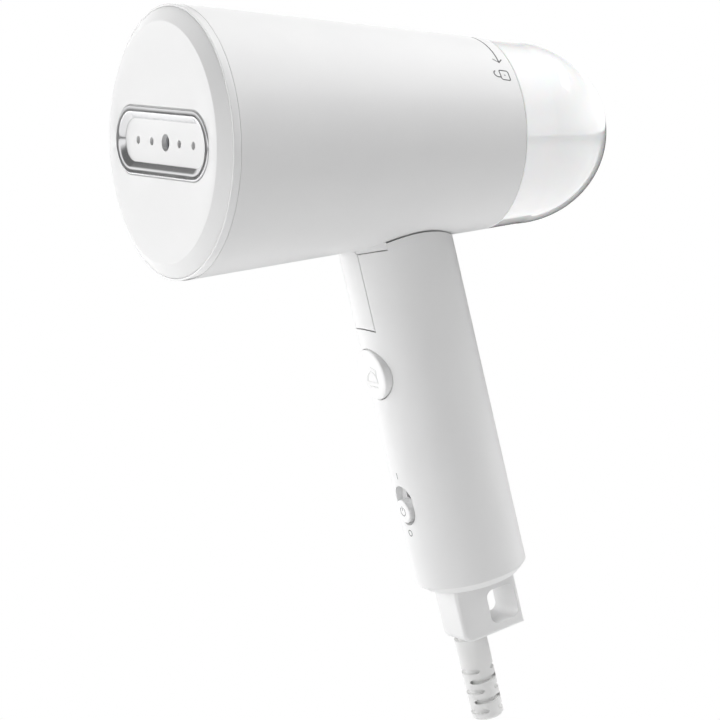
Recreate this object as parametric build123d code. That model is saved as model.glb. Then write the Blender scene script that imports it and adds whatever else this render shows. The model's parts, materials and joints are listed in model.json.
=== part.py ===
from build123d import *
from math import atan, cos, hypot, radians, sin, sqrt
import os

# Handheld garment steamer with a forward-folding handle and a twist-off tank.
# Millimetres. X runs along the barrel from the steam face to the tank, Z is up,
# and the origin is on the barrel axis at the back edge of the front ring.

# ---- driving dimensions: barrel ----
RING_R = 44.5            # outer radius of the front ring
RING_LENGTH = 2.8        # visible width of the front ring
RING_LIP = 0.75          # front lip of the ring round the face plate
RING_EDGE = 0.3          # chamfer on the ring's front edge
RING_SEAT = 1.3          # how deep the face plate's rim sits in the ring
RING_TAIL = 8.0          # sleeve of the ring inside the barrel
RING_TAIL_WALL = 1.5
FACE_STAND = 3.2         # how far the flat face stands out of the ring
FACE_FLAT_R = 39.1       # radius of the flat face inside its chamfer
FACE_WALL = 2.0
BARREL_LENGTH = 111.6
BARREL_REAR_R = 32.3
BARREL_WALL = 2.2

# ---- driving dimensions: steam outlet ----
BEZEL_WIDTH = 66.8
BEZEL_HEIGHT = 22.4
BEZEL_LIP = 2.2
BEZEL_LEDGE = 1.0        # how far the bezel's lip covers the edge of the face's window
BEZEL_PROUD = 0.35
RECESS_DEPTH = 1.4       # from the flat face to the steam plate
RECESS_SLOPE = 2.2       # how far the bezel's wall leans inwards over that depth
PLATE_THICK = 1.6
PLATE_LEDGE = 1.2        # seat of the steam plate behind the bezel's throat
STEAM_PITCH = 10.0
STEAM_R = 1.3
STEAM_CENTRE_R = 2.8

# ---- driving dimensions: tank ----
TANK_STRAIGHT = 13.1     # length that carries on the barrel's taper
DOME_LENGTH = 33.5
TANK_WALL = 2.0
TANK_GAP = 0.35          # gap between tank and barrel at the seam
SPIGOT_LENGTH = 8.5
NECK_R = 12.5
NECK_LENGTH = 10.0
LUG_HEIGHT = 2.8
LUG_ANGLE = 20.0

# ---- driving dimensions: handle ----
LEAN = 14.8              # degrees that the handle leans back from the vertical
HANDLE_R = 19.2
HANDLE_WALL = 2.0
HANDLE_LENGTH = 115.2    # from the reference point to the end of the shell
HANDLE_SETBACK = 30.7    # from the barrel's rear edge forward to the handle's reference point
NECK_DROP = 2.344        # from the barrel's underside down to that point
BEVEL = 1.4
CAP_THICK = 1.3          # cap below the end of the shell
PIVOT_DOWN = 15.8        # fold pin, along the handle
PIVOT_FORWARD = 14.3     # fold pin, forward of the handle's axis
TONGUE_WIDTH = 12.6
TONGUE_R = 7.5           # round end of the tongue about the pin
ROOT_FILLET = 2.5        # where the front of the tongue runs into the barrel
PIN_R = 2.0
PIN_SKIN = 0.6           # wall left at the blind end of the pin's bore
PIN_COVER_WALL = 1.0     # how much wider the pin's cover is than the pin

# ---- driving dimensions: controls ----
BUTTON_GAP = 1.6         # along the handle, from the hinge's floor to the button's flange
BUTTON_RIM = 1.5         # flange that keeps the button in the handle
BUTTON_R = 8.75
BUTTON_FACE = 20.0       # forward of the handle's axis
BUTTON_TRAVEL = 1.6
SLIDER_UP = 29.0         # knob in its lower position, up from the end of the handle
SLIDER_R = 4.1
SLIDER_FACE = 20.1
SLIDER_TRAVEL = 3.6
POCKET_DEPTH = 3.0       # slider pocket, below the front of the handle
POCKET_MARGIN = 1.1      # room round the knob in its pocket

# ---- driving dimensions: loop and cord guard ----
LOOP_FRONT = 12.0
LOOP_BACK = 12.2
LOOP_WIDTH = 15.0
LOOP_HEIGHT = 19.8
LOOP_BAR = 1.7           # bar behind the hole
LOOP_HOLE = 10.8
LOOP_FLOOR = 3.2         # bar under the hole
GUARD_FORWARD = 6.0
GUARD_R = 5.65
GUARD_TIP_R = 5.5
GUARD_LENGTH = 29.1
CORD_R = 3.4
GUARD_NECK = 0.9         # wall of the guard where it passes through the cap
SLIT = 1.6
SLIT_PITCH = 3.65
SLIT_COUNT = 5

# ---- driving dimensions: inside ----
BOILER_R = 31.0
BOILER_DEPTH = 20.0
CHAMBER_R = 17.5
ELEMENT_R = 25.0
ELEMENT_TUBE_R = 3.0
LID_THICK = 3.0
GASKET_THICK = 1.0
WRAP_THICK = 4.0
SHIELD_WALL = 0.8
PUMP_R = 11.0
PUMP_LENGTH = 32.0
PUMP_GAP = 17.0          # between the pump and the bulkhead
PUMP_Z = 3.0
NIPPLE_R = 2.2
NIPPLE_LENGTH = 5.0
HOSE_R = 3.4
HOSE_BEND = 4.0
HOSE_STRAIGHT = 1.2      # straight hose past the end of each nipple
BULKHEAD_SETBACK = 16.6  # from the barrel's rear edge forward to the bulkhead
BULKHEAD_THICK = 3.0
BOARD_WIDTH = 24.0
BOARD_THICK = 1.6
SCREW_R = 1.4
SCREW_HEAD_R = 2.6
SCREW_HEAD = 1.6
BOILER_X = 3.0
CHAMBER_START = 10.0     # front wall of the boiler before its chamber
ELEMENT_DEPTH = 5.0      # heating ring behind the boiler's front
ELEMENT_GAP = 50.0       # open part of the heating ring, in degrees
THERMOSTAT_R = 8.0
THERMOSTAT_Z = 14.0
FUSE_R = 2.0
FUSE_Z = -12.5
COIL_MARGIN = 1.5        # how far the pump's square coil stands out of its round body
BRACKET_THICK = 2.0
BRACKET_HALF = 7.0
POST_SETBACK = 16.0      # bracket posts behind the pump's front
POST_Y = 17.0
POST_R = 3.2
LUG_LENGTH = 3.4
LUG_PLACES = (90.0, 270.0)
BOSS_R = 3.6
BOSS_LENGTH = 9.0
BOSS_PLACES = (30.0, 150.0, 270.0)
GROOVE_WIDTH = 1.9
GROOVE_DEPTH = 0.9
SEAL_R = 0.7
VALVE_SEAT = 1.6
VALVE_HOLE = 3.1
VALVE_HEAD_R = 5.2
VALVE_STEM_R = 1.3
PLUG_R = 3.2
PLUG_HEAD_R = 4.5
PLUG_INSET = 7.0         # filler plug, inwards from the spigot's edge
HINGE_WALL = 2.2
STEM_WIDTH = 3.4
STEM_LENGTH = 4.4
FRAME_FRONT = -1.0       # front of the handle's inner frame, from the handle's axis
FRAME_THICK = 2.0
BOARD_BACK = 1.6
BOARD_TOP = 30.0
BOARD_SCREW_Y = 9.0
SWITCH_HEIGHT = 5.0
SWITCH_HALF = 3.0
PLUNGER = 0.8
SLIDE_SWITCH_HEIGHT = 7.0
CLAMP_HALF = 3.0
CLAMP_Y = 7.0
CLAMP_THICK = 3.6
CAP_SCREW_X = -6.0
CAP_SCREW_Y = 11.5
CAP_SCREW_HEAD = 1.2
SPRING_WIRE = 0.35       # wire radius of both springs
BUTTON_SPRING_R = 5.2
VALVE_SPRING_R = 3.6

# ---- clearances ----
MOVE = 0.3               # between pieces that move past each other
SEAT = 0.05              # between pieces that seat in each other
PIN_FIT = 0.04           # radial, fold pin in its bores

TAPER = (RING_R - BARREL_REAR_R) / BARREL_LENGTH


def barrel_r(x):
    """Outer radius of the barrel's taper at a place along its axis."""
    return RING_R - TAPER * x


# ---- derived places ----
FACE_X = -RING_LENGTH - FACE_STAND
PLATE_X = FACE_X + RECESS_DEPTH
PLATE_BACK = PLATE_X + PLATE_THICK
DOME_X = BARREL_LENGTH + TANK_STRAIGHT
TANK_START = BARREL_LENGTH + TANK_GAP
BULKHEAD_X = BARREL_LENGTH - BULKHEAD_SETBACK
PUMP_X = BULKHEAD_X - PUMP_GAP - PUMP_LENGTH
AXIS_X = BARREL_LENGTH - HANDLE_SETBACK
AXIS_DROP = barrel_r(AXIS_X) + NECK_DROP
lean = radians(LEAN)
HANDLE = Plane(
    origin=(AXIS_X, 0, -AXIS_DROP),
    x_dir=(-cos(lean), 0, -sin(lean)),
    z_dir=(sin(lean), 0, -cos(lean)),
)
CAP_END = HANDLE_LENGTH + CAP_THICK
LOOP_END = CAP_END + LOOP_HEIGHT
FRAME_END = HANDLE_LENGTH - 5.2
CLAMP_DOWN = FRAME_END - 5.0
BOARD_END = CLAMP_DOWN - 6.0
SLIDER_DOWN = HANDLE_LENGTH - SLIDER_UP
HINGE_FLOOR = PIVOT_DOWN + TONGUE_R + MOVE + HINGE_WALL
FLANGE_R = BUTTON_R + BUTTON_RIM
BUTTON_DOWN = HINGE_FLOOR + FLANGE_R + BUTTON_GAP


def turned(*points):
    """Solid turned about the X axis from (x, radius) points."""
    return revolve(make_face(Plane.XZ * Polyline(*points, close=True)), Axis.X, 360)


def turned_down(*points):
    """Solid turned about the local Z axis from (radius, z) points."""
    return revolve(make_face(Plane.XZ * Polyline(*points, close=True)), Axis.Z, 360)


def rod_x(radius, start, end, y=0.0, z=0.0):
    """Round bar along X."""
    return Pos((start + end) / 2, y, z) * Rot(0, 90, 0) * Cylinder(radius, end - start)


def rod_y(radius, start, end, x=0.0, z=0.0):
    """Round bar along Y."""
    return Pos(x, (start + end) / 2, z) * Rot(90, 0, 0) * Cylinder(radius, end - start)


def rod_z(radius, start, end, x=0.0, y=0.0):
    """Round bar along Z."""
    return Pos(x, y, (start + end) / 2) * Cylinder(radius, end - start)


def block(x0, x1, y0, y1, z0, z1):
    """Box between two corners."""
    centre = Pos((x0 + x1) / 2, (y0 + y1) / 2, (z0 + z1) / 2)
    return centre * Box(x1 - x0, y1 - y0, z1 - z0)


def slot_face(width, height, x):
    """Slot-shaped face, long in Y, at a place along the barrel."""
    return Plane(origin=(x, 0, 0), x_dir=(0, 1, 0), z_dir=(1, 0, 0)) * SlotOverall(width, height)


def slot_block(width, height, start, end):
    """Slot-shaped prism along X."""
    return extrude(slot_face(width, height, start), end - start)


def screw(start, head, length, radius=SCREW_R):
    """Pan-head screw along +Z from its point to the top of its head, with a cross recess."""
    shank = rod_z(radius, start, start + length)
    pan = rod_z(SCREW_HEAD_R, start + length, start + length + head)
    drive = Pos(0, 0, start + length + head) * (Box(3, 0.7, 1.2) + Box(0.7, 3, 1.2))
    return shank + pan - drive


def spring(radius, wire, start, end, turns):
    """Round-wire compression spring along Z."""
    path = Pos(0, 0, start + wire) * Helix((end - start - 2 * wire) / turns, end - start - 2 * wire, radius)
    section = Plane(origin=path @ 0, z_dir=path % 0) * Circle(wire)
    return sweep(section, path=path, is_frenet=True)


def hose(start, end, start_z, end_z):
    """Hose pushed over two nipples that point at each other at different heights."""
    reach = NIPPLE_LENGTH + HOSE_STRAIGHT
    points = [(start, 0, start_z), (start + reach, 0, start_z), (end - reach, 0, end_z), (end, 0, end_z)]
    route = FilletPolyline(*points, radius=HOSE_BEND)
    section = Plane(origin=route @ 0, z_dir=route % 0)
    return sweep(section * Circle(HOSE_R), path=route) - sweep(section * Circle(NIPPLE_R), path=route)


# ---- front of the barrel ----
def front_ring():
    inner = barrel_r(0) - BARREL_WALL - SEAT
    tail_r = inner - TAPER * RING_TAIL
    return turned(
        (-RING_LENGTH, RING_R - RING_LIP),
        (-RING_LENGTH, RING_R - RING_EDGE),
        (-RING_LENGTH + RING_EDGE, RING_R),
        (0, RING_R),
        (0, inner),
        (RING_TAIL, tail_r),
        (RING_TAIL, tail_r - RING_TAIL_WALL),
        (-RING_SEAT, inner - BARREL_WALL),
        (-RING_SEAT, RING_R - RING_LIP),
    )


def face_plate():
    edge = RING_R - RING_LIP - SEAT
    body = turned(
        (FACE_X, 0),
        (FACE_X, FACE_FLAT_R),
        (-RING_LENGTH, edge),
        (-RING_SEAT - SEAT, edge),
        (-RING_SEAT - SEAT, edge - FACE_WALL),
        (FACE_X + FACE_WALL, FACE_FLAT_R - 0.8),
        (FACE_X + FACE_WALL, 0),
    )
    cut = 2 * BEZEL_LEDGE
    window = slot_block(BEZEL_WIDTH - cut, BEZEL_HEIGHT - cut, FACE_X - 1, 0)
    return body - window


def steam_bezel():
    ledge = 2 * (BEZEL_LEDGE + SEAT)
    shank_width = BEZEL_WIDTH - ledge
    shank_height = BEZEL_HEIGHT - ledge
    mouth_width = BEZEL_WIDTH - 2 * BEZEL_LIP
    mouth_height = BEZEL_HEIGHT - 2 * BEZEL_LIP
    throat_width = mouth_width - 2 * RECESS_SLOPE
    throat_height = mouth_height - 2 * RECESS_SLOPE
    front = FACE_X - BEZEL_PROUD
    lip = slot_block(BEZEL_WIDTH, BEZEL_HEIGHT, front, FACE_X)
    shank = slot_block(shank_width, shank_height, FACE_X, PLATE_BACK)
    mouth = loft([slot_face(mouth_width, mouth_height, front), slot_face(throat_width, throat_height, PLATE_X)])
    seat = slot_block(throat_width + 2 * PLATE_LEDGE, throat_height + 2 * PLATE_LEDGE, PLATE_X, PLATE_BACK)
    return lip + shank - mouth - seat


def steam_holes(radius, centre_radius, start, end):
    """Five bores on the plate's centre line, the middle one larger."""
    bores = rod_x(centre_radius, start, end)
    for place in (-2, -1, 1, 2):
        bores += rod_x(radius, start, end, y=place * STEAM_PITCH)
    return bores


def steam_plate():
    margin = 2 * (BEZEL_LIP + RECESS_SLOPE - PLATE_LEDGE + SEAT)
    plate = slot_block(BEZEL_WIDTH - margin, BEZEL_HEIGHT - margin, PLATE_X, PLATE_BACK)
    return plate - steam_holes(STEAM_R, STEAM_CENTRE_R, PLATE_X - 1, PLATE_BACK + 1)


# ---- boiler ----
BOILER_BACK = BOILER_X + BOILER_DEPTH
LID_X = BOILER_BACK + GASKET_THICK
LID_BACK = LID_X + LID_THICK
ELEMENT_X = BOILER_X + ELEMENT_DEPTH
LID_SCREWS = [Rot(angle, 0, 0) * Pos(0, 0, ELEMENT_R + 1) for angle in (0, 120, 240)]


def heating_element():
    arc = Rot(0, 90, 0) * Rot(0, 0, ELEMENT_GAP / 2) * Torus(ELEMENT_R, ELEMENT_TUBE_R, major_angle=360 - ELEMENT_GAP)
    for side in (-1, 1):
        angle = radians(side * ELEMENT_GAP / 2)
        place = dict(y=ELEMENT_R * sin(angle), z=-ELEMENT_R * cos(angle))
        arc += rod_x(ELEMENT_TUBE_R, 0, LID_BACK - ELEMENT_X + 3, **place)
        arc += rod_x(1.0, LID_BACK - ELEMENT_X + 3, LID_BACK - ELEMENT_X + 9, **place)
        arc += Pos(0, place["y"], place["z"]) * Sphere(ELEMENT_TUBE_R)
    return Pos(ELEMENT_X, 0, 0) * arc


def boiler(element):
    body = rod_x(BOILER_R, BOILER_X, BOILER_BACK)
    body += slot_block(54.0, 11.0, PLATE_BACK, BOILER_X)
    chamber = BOILER_X + CHAMBER_START
    jet = STEAM_R - 0.2
    reach = 2 * STEAM_PITCH + jet
    body -= rod_x(CHAMBER_R, chamber, BOILER_BACK)
    body -= steam_holes(jet, STEAM_CENTRE_R - 0.8, PLATE_BACK - 1, chamber + 1)
    gallery = block(chamber - 3.5, chamber, -reach, reach, -jet, jet)
    for place in LID_SCREWS:
        body -= place * rod_x(SCREW_R, BOILER_X + 8, BOILER_BACK)
    return body - gallery - element


def boiler_lid():
    lid = rod_x(BOILER_R, LID_X, LID_BACK)
    lid += rod_x(NIPPLE_R, LID_BACK, LID_BACK + NIPPLE_LENGTH)
    lid -= rod_x(NIPPLE_R - 0.9, LID_X, LID_BACK + NIPPLE_LENGTH)
    for side in (-1, 1):
        angle = radians(side * ELEMENT_GAP / 2)
        lid -= rod_x(ELEMENT_TUBE_R + SEAT, LID_X, LID_BACK, y=ELEMENT_R * sin(angle), z=-ELEMENT_R * cos(angle))
    for place in LID_SCREWS:
        lid -= place * rod_x(SCREW_R + SEAT, LID_X, LID_BACK)
    return lid


def boiler_gasket():
    ring = rod_x(CHAMBER_R + 3.5, BOILER_BACK, LID_X)
    return ring - rod_x(CHAMBER_R, BOILER_BACK, LID_X)


def boiler_screws():
    length = LID_BACK - BOILER_X - 9
    single = Rot(0, 90, 0) * screw(BOILER_X + 9, SCREW_HEAD, length)
    return [place * single for place in LID_SCREWS]


def insulation_wrap():
    inner = BOILER_R + SEAT
    return rod_x(inner + WRAP_THICK, BOILER_X, BOILER_BACK) - rod_x(inner, BOILER_X, BOILER_BACK)


def heat_shield():
    inner = BOILER_R + WRAP_THICK + 2 * SEAT
    flange = barrel_r(0) - BARREL_WALL - 4.2
    tube = rod_x(inner + SHIELD_WALL, 1.0, LID_BACK + 3) - rod_x(inner, 1.0, LID_BACK + 3)
    rim = rod_x(flange, 1.0, 1.8) - rod_x(inner, 1.0, 1.8)
    return tube + rim


def thermostat():
    disc = rod_x(THERMOSTAT_R, LID_BACK, LID_BACK + 4.5, z=THERMOSTAT_Z)
    disc += rod_x(THERMOSTAT_R - 1.5, LID_BACK + 4.5, LID_BACK + 6, z=THERMOSTAT_Z)
    for y in (-4, 4):
        disc += block(LID_BACK + 6, LID_BACK + 11, y - 1.2, y + 1.2, THERMOSTAT_Z - 0.3, THERMOSTAT_Z + 0.3)
    return disc


def thermal_fuse():
    axis = LID_BACK + FUSE_R + 0.4
    body = rod_y(FUSE_R, -6, 6, x=axis, z=FUSE_Z)
    leads = rod_y(0.5, -11, 11, x=axis, z=FUSE_Z)
    clip = block(LID_BACK, LID_BACK + 1.0, -3, 3, FUSE_Z - FUSE_R - 0.2, FUSE_Z + FUSE_R + 0.2)
    return body + leads + clip


# ---- pump and hoses ----
def pump():
    end = PUMP_X + PUMP_LENGTH
    body = rod_x(PUMP_R, PUMP_X, end, z=PUMP_Z)
    half = PUMP_R + COIL_MARGIN
    coil = block(PUMP_X + 6, end - 8, -half, half, PUMP_Z - half, PUMP_Z + half)
    body += fillet(coil.edges().filter_by(Axis.X), 2.0)
    body += rod_x(NIPPLE_R, PUMP_X - NIPPLE_LENGTH, PUMP_X, z=PUMP_Z)
    body += rod_x(NIPPLE_R, end, end + NIPPLE_LENGTH, z=PUMP_Z)
    return body - rod_x(NIPPLE_R - 0.9, PUMP_X - NIPPLE_LENGTH, end + NIPPLE_LENGTH, z=PUMP_Z)


BRACKET_TOP = PUMP_Z - PUMP_R - COIL_MARGIN
BRACKET_BASE = BRACKET_TOP - BRACKET_THICK
POST_X = PUMP_X + POST_SETBACK


def pump_bracket():
    side = PUMP_R + COIL_MARGIN + SEAT
    low, high = POST_X - BRACKET_HALF, POST_X + BRACKET_HALF
    base = block(low, high, -POST_Y - 4, POST_Y + 4, BRACKET_BASE, BRACKET_TOP - SEAT)
    for sign in (-1, 1):
        inner, outer = sorted((sign * side, sign * (side + 1.5)))
        base += block(low, high, inner, outer, BRACKET_TOP - SEAT, PUMP_Z + 4)
        base -= rod_z(SCREW_R + SEAT, BRACKET_BASE, BRACKET_TOP, x=POST_X, y=sign * POST_Y)
    return base


def bracket_screws():
    single = screw(BRACKET_BASE - 6, SCREW_HEAD, 6 + BRACKET_TOP - BRACKET_BASE - SEAT)
    return [Pos(POST_X, sign * POST_Y, 0) * single for sign in (-1, 1)]


def outlet_hose():
    return hose(LID_BACK + SEAT, PUMP_X - SEAT, 0, PUMP_Z)


def inlet_hose():
    return hose(PUMP_X + PUMP_LENGTH + SEAT, BULKHEAD_X - SEAT, PUMP_Z, 0)


# ---- bulkhead and tank ----
SOCKET_END = TANK_START - 3.5
LUG_X = SOCKET_END - 7.2
BOSS_RING = barrel_r(BULKHEAD_X + BULKHEAD_THICK + SCREW_HEAD) - BARREL_WALL - SCREW_HEAD_R - MOVE


def sector(inner, outer, start, end, centre, width):
    """Part of a tube along X, centred on an angle about the axis."""
    tube = rod_x(outer, start, end) - rod_x(inner, start, end)
    half = radians(width / 2)
    far = outer * 2
    wedge = Polyline((0, 0), (far * cos(half), far * sin(half)), (far * cos(half), -far * sin(half)), close=True)
    side = Plane(origin=(start, 0, 0), x_dir=(0, 1, 0), z_dir=(1, 0, 0))
    prism = extrude(make_face(side * wedge), end - start)
    return tube & (Rot(centre, 0, 0) * prism)


def bulkhead():
    back = BULKHEAD_X + BULKHEAD_THICK
    reach = NECK_R + LUG_HEIGHT + MOVE
    plate = rod_x(barrel_r(back) - BARREL_WALL - SEAT, BULKHEAD_X, back)
    socket = rod_x(reach + 1.8, back, SOCKET_END) - rod_x(reach, back, SOCKET_END)
    lip = rod_x(reach, LUG_X + LUG_LENGTH + MOVE, SOCKET_END) - rod_x(NECK_R + MOVE, back, SOCKET_END)
    for place in LUG_PLACES:
        lip -= sector(NECK_R, reach, LUG_X, SOCKET_END, place, LUG_ANGLE + 5)
    body = plate + socket + lip
    body += rod_x(NIPPLE_R, BULKHEAD_X - NIPPLE_LENGTH, BULKHEAD_X)
    body += rod_x(3.2, back, NECK_X - MOVE)
    body -= rod_x(NIPPLE_R - 0.9, BULKHEAD_X - NIPPLE_LENGTH, LUG_X)
    for place in BOSS_PLACES:
        body -= Rot(place, 0, 0) * rod_x(SCREW_R + SEAT, BULKHEAD_X, back, y=BOSS_RING)
    return body


def bulkhead_screws():
    single = Rot(0, 90, 0) * screw(BULKHEAD_X - 6, SCREW_HEAD, 6 + BULKHEAD_THICK)
    return [Rot(place, 0, 0) * Pos(0, BOSS_RING, 0) * single for place in BOSS_PLACES]


SPIGOT_R = barrel_r(BARREL_LENGTH) - BARREL_WALL - 0.5
SPIGOT_X = TANK_START - SPIGOT_LENGTH
GROOVE_X = SPIGOT_X + 3.0
GROOVE_R = SPIGOT_R - GROOVE_DEPTH


def tank_shell():
    outer = Line((TANK_START, barrel_r(TANK_START)), (DOME_X, barrel_r(DOME_X)))
    dome = EllipticalCenterArc((DOME_X, 0), DOME_LENGTH, barrel_r(DOME_X))
    inner_dome = EllipticalCenterArc((DOME_X, 0), DOME_LENGTH - TANK_WALL, barrel_r(DOME_X) - TANK_WALL)
    rest = Polyline(
        (DOME_X, barrel_r(DOME_X) - TANK_WALL),
        (TANK_START + 2, SPIGOT_R - TANK_WALL),
        (SPIGOT_X, SPIGOT_R - TANK_WALL),
        (SPIGOT_X, SPIGOT_R),
        (GROOVE_X, SPIGOT_R),
        (GROOVE_X, GROOVE_R),
        (GROOVE_X + GROOVE_WIDTH, GROOVE_R),
        (GROOVE_X + GROOVE_WIDTH, SPIGOT_R),
        (TANK_START, SPIGOT_R),
        (TANK_START, barrel_r(TANK_START)),
    )
    crown = Line((DOME_X + DOME_LENGTH - TANK_WALL, 0), (DOME_X + DOME_LENGTH, 0))
    outline = Plane.XZ * Wire([*outer.edges(), *dome.edges(), *crown.edges(), *inner_dome.edges(), *rest.edges()])
    return revolve(make_face(outline), Axis.X, 360)


COVER_BACK = TANK_START - 0.5
COVER_X = COVER_BACK - 2.0
NECK_X = COVER_X - NECK_LENGTH
PLUG_Z = SPIGOT_R - PLUG_INSET


def tank_cover():
    disc = rod_x(SPIGOT_R - TANK_WALL - SEAT, COVER_X, COVER_BACK)
    neck = rod_x(NECK_R, NECK_X, COVER_X) - rod_x(NECK_R - 2.2, NECK_X + VALVE_SEAT, COVER_X)
    body = disc + neck - rod_x(NECK_R - 2.2, COVER_X, COVER_BACK - 1.0)
    for place in LUG_PLACES:
        body += sector(NECK_R - 0.5, NECK_R + LUG_HEIGHT, LUG_X, LUG_X + LUG_LENGTH, place, LUG_ANGLE)
    body -= rod_x(VALVE_HOLE, NECK_X, NECK_X + VALVE_SEAT)
    body -= rod_x(VALVE_STEM_R + MOVE, COVER_BACK - 1.0, COVER_BACK)
    for angle in (45, 135, 225, 315):
        body -= Rot(angle, 0, 0) * rod_x(1.8, COVER_BACK - 1.0, COVER_BACK, y=6.0)
    return body - rod_x(PLUG_R + SEAT, COVER_X, COVER_BACK, z=PLUG_Z)


def tank_seal():
    return Pos(GROOVE_X + GROOVE_WIDTH / 2, 0, 0) * Rot(0, 90, 0) * Torus(GROOVE_R + SEAL_R + 0.1, SEAL_R)


def valve_poppet():
    head_x = NECK_X + VALVE_SEAT + SEAT
    nose = rod_x(VALVE_HOLE - MOVE, NECK_X, head_x)
    head = rod_x(VALVE_HEAD_R, head_x, head_x + VALVE_SEAT)
    return nose + head + rod_x(VALVE_STEM_R, head_x + VALVE_SEAT, COVER_BACK + 0.5)


def valve_spring():
    start = NECK_X + 2 * VALVE_SEAT + SEAT
    return Rot(0, 90, 0) * spring(VALVE_SPRING_R, SPRING_WIRE, start + 0.1, COVER_BACK - 1.1, 5)


def filler_plug():
    head = rod_x(PLUG_HEAD_R, COVER_X - 1.8, COVER_X - SEAT, z=PLUG_Z)
    return head + rod_x(PLUG_R, COVER_X - SEAT, COVER_BACK + 0.8, z=PLUG_Z)


# ---- barrel shell with the tongue of the fold ----
SLOT_HALF = TONGUE_WIDTH / 2 + MOVE
CLEAR_Y = sqrt(barrel_r(AXIS_X) ** 2 - SLOT_HALF ** 2)
PIVOT = HANDLE.from_local_coords(Vector(PIVOT_FORWARD, 0, PIVOT_DOWN))
TAPER_ANGLE = atan(TAPER)
BARREL_SAG = barrel_r(AXIS_X) - CLEAR_Y
FOLD_R = (-PIVOT.Z - barrel_r(PIVOT.X) + BARREL_SAG) * cos(TAPER_ANGLE) - MOVE
FOLD_FOOT = PIVOT_FORWARD - 3.0


def on_barrel(point):
    """True where a point lies on the barrel's outer surface."""
    return abs(hypot(point.Y, point.Z) - barrel_r(point.X)) < 0.6


def outer_taper(gap=0.0, start=-2.0, end=BARREL_LENGTH + 20):
    """The barrel's outer surface as a solid, grown by a gap."""
    return turned((start, 0), (start, barrel_r(start) + gap), (end, barrel_r(end) + gap), (end, 0))


def barrel_shell():
    inside = turned(
        (-1, 0),
        (-1, barrel_r(-1) - BARREL_WALL),
        (BARREL_LENGTH + 1, barrel_r(BARREL_LENGTH + 1) - BARREL_WALL),
        (BARREL_LENGTH + 1, 0),
    )
    skin = outer_taper(start=0, end=BARREL_LENGTH)
    round_end = rod_y(TONGUE_R, -TONGUE_WIDTH / 2, TONGUE_WIDTH / 2, x=PIVOT_FORWARD, z=PIVOT_DOWN)
    stem = block(PIVOT_FORWARD - TONGUE_R, HANDLE_R + 1, -TONGUE_WIDTH / 2, TONGUE_WIDTH / 2, -16, PIVOT_DOWN)
    column = rod_z(HANDLE_R, -16, PIVOT_DOWN + TONGUE_R)
    tongue = (round_end + stem) & column
    pad = rod_z(HANDLE_R, -16, 0) & block(FOLD_FOOT, HANDLE_R, -HANDLE_R, HANDLE_R, -16, 0)
    pad -= rod_y(FOLD_R + MOVE, -HANDLE_R, HANDLE_R, x=PIVOT_FORWARD, z=PIVOT_DOWN)
    body = skin + HANDLE.location * tongue
    root = [edge for edge in body.edges() if PIVOT.X - 20 < edge.center().X < PIVOT.X and on_barrel(edge.center())]
    body = fillet([edge for edge in root if abs(edge.center().Y) < 0.1], ROOT_FILLET)
    body += HANDLE.location * pad
    body -= inside
    body -= HANDLE.location * rod_y(PIN_R + PIN_FIT, -10, 10, x=PIVOT_FORWARD, z=PIVOT_DOWN)
    boss_start = BULKHEAD_X - BOSS_LENGTH
    shell_inside = turned(
        (boss_start, 0),
        (boss_start, barrel_r(boss_start) - 0.5),
        (BULKHEAD_X, barrel_r(BULKHEAD_X) - 0.5),
        (BULKHEAD_X, 0),
    )
    for place in BOSS_PLACES:
        boss = Rot(place, 0, 0) * rod_x(BOSS_R, boss_start, BULKHEAD_X, y=BOSS_RING)
        hole = Rot(place, 0, 0) * rod_x(SCREW_R, boss_start + 2, BULKHEAD_X, y=BOSS_RING)
        body += boss & shell_inside
        body -= hole
    post_keep = outer_taper(gap=-0.5, start=0, end=BARREL_LENGTH)
    for sign in (-1, 1):
        post = rod_z(POST_R, -barrel_r(0), BRACKET_BASE, x=POST_X, y=sign * POST_Y) & post_keep
        body += post
        body -= rod_z(SCREW_R, BRACKET_BASE - 7, BRACKET_BASE, x=POST_X, y=sign * POST_Y)
    return body


# ---- handle, modelled in its own axes: X forward, Z down along the handle ----
HINGE_BACK = PIVOT_FORWARD - TONGUE_R - MOVE - HINGE_WALL
INNER_R = HANDLE_R - HANDLE_WALL
PIN_HALF = sqrt(HANDLE_R ** 2 - (PIVOT_FORWARD + PIN_R + PIN_FIT) ** 2) - PIN_SKIN
CAP_COUNTER_R = PIN_R + PIN_COVER_WALL
POCKET_FLOOR = HANDLE_R - POCKET_DEPTH
POCKET_LENGTH = 2 * (SLIDER_R + POCKET_MARGIN) + SLIDER_TRAVEL
POCKET_WIDTH = 2 * (SLIDER_R + POCKET_MARGIN)


def stand(sketch, forward, length):
    """Extrude a sketch forward; the sketch's X runs down the handle and its Y across."""
    plane = Plane(origin=(forward, 0, 0), x_dir=(0, 0, 1), z_dir=(1, 0, 0))
    return extrude(plane * sketch, length)


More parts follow.
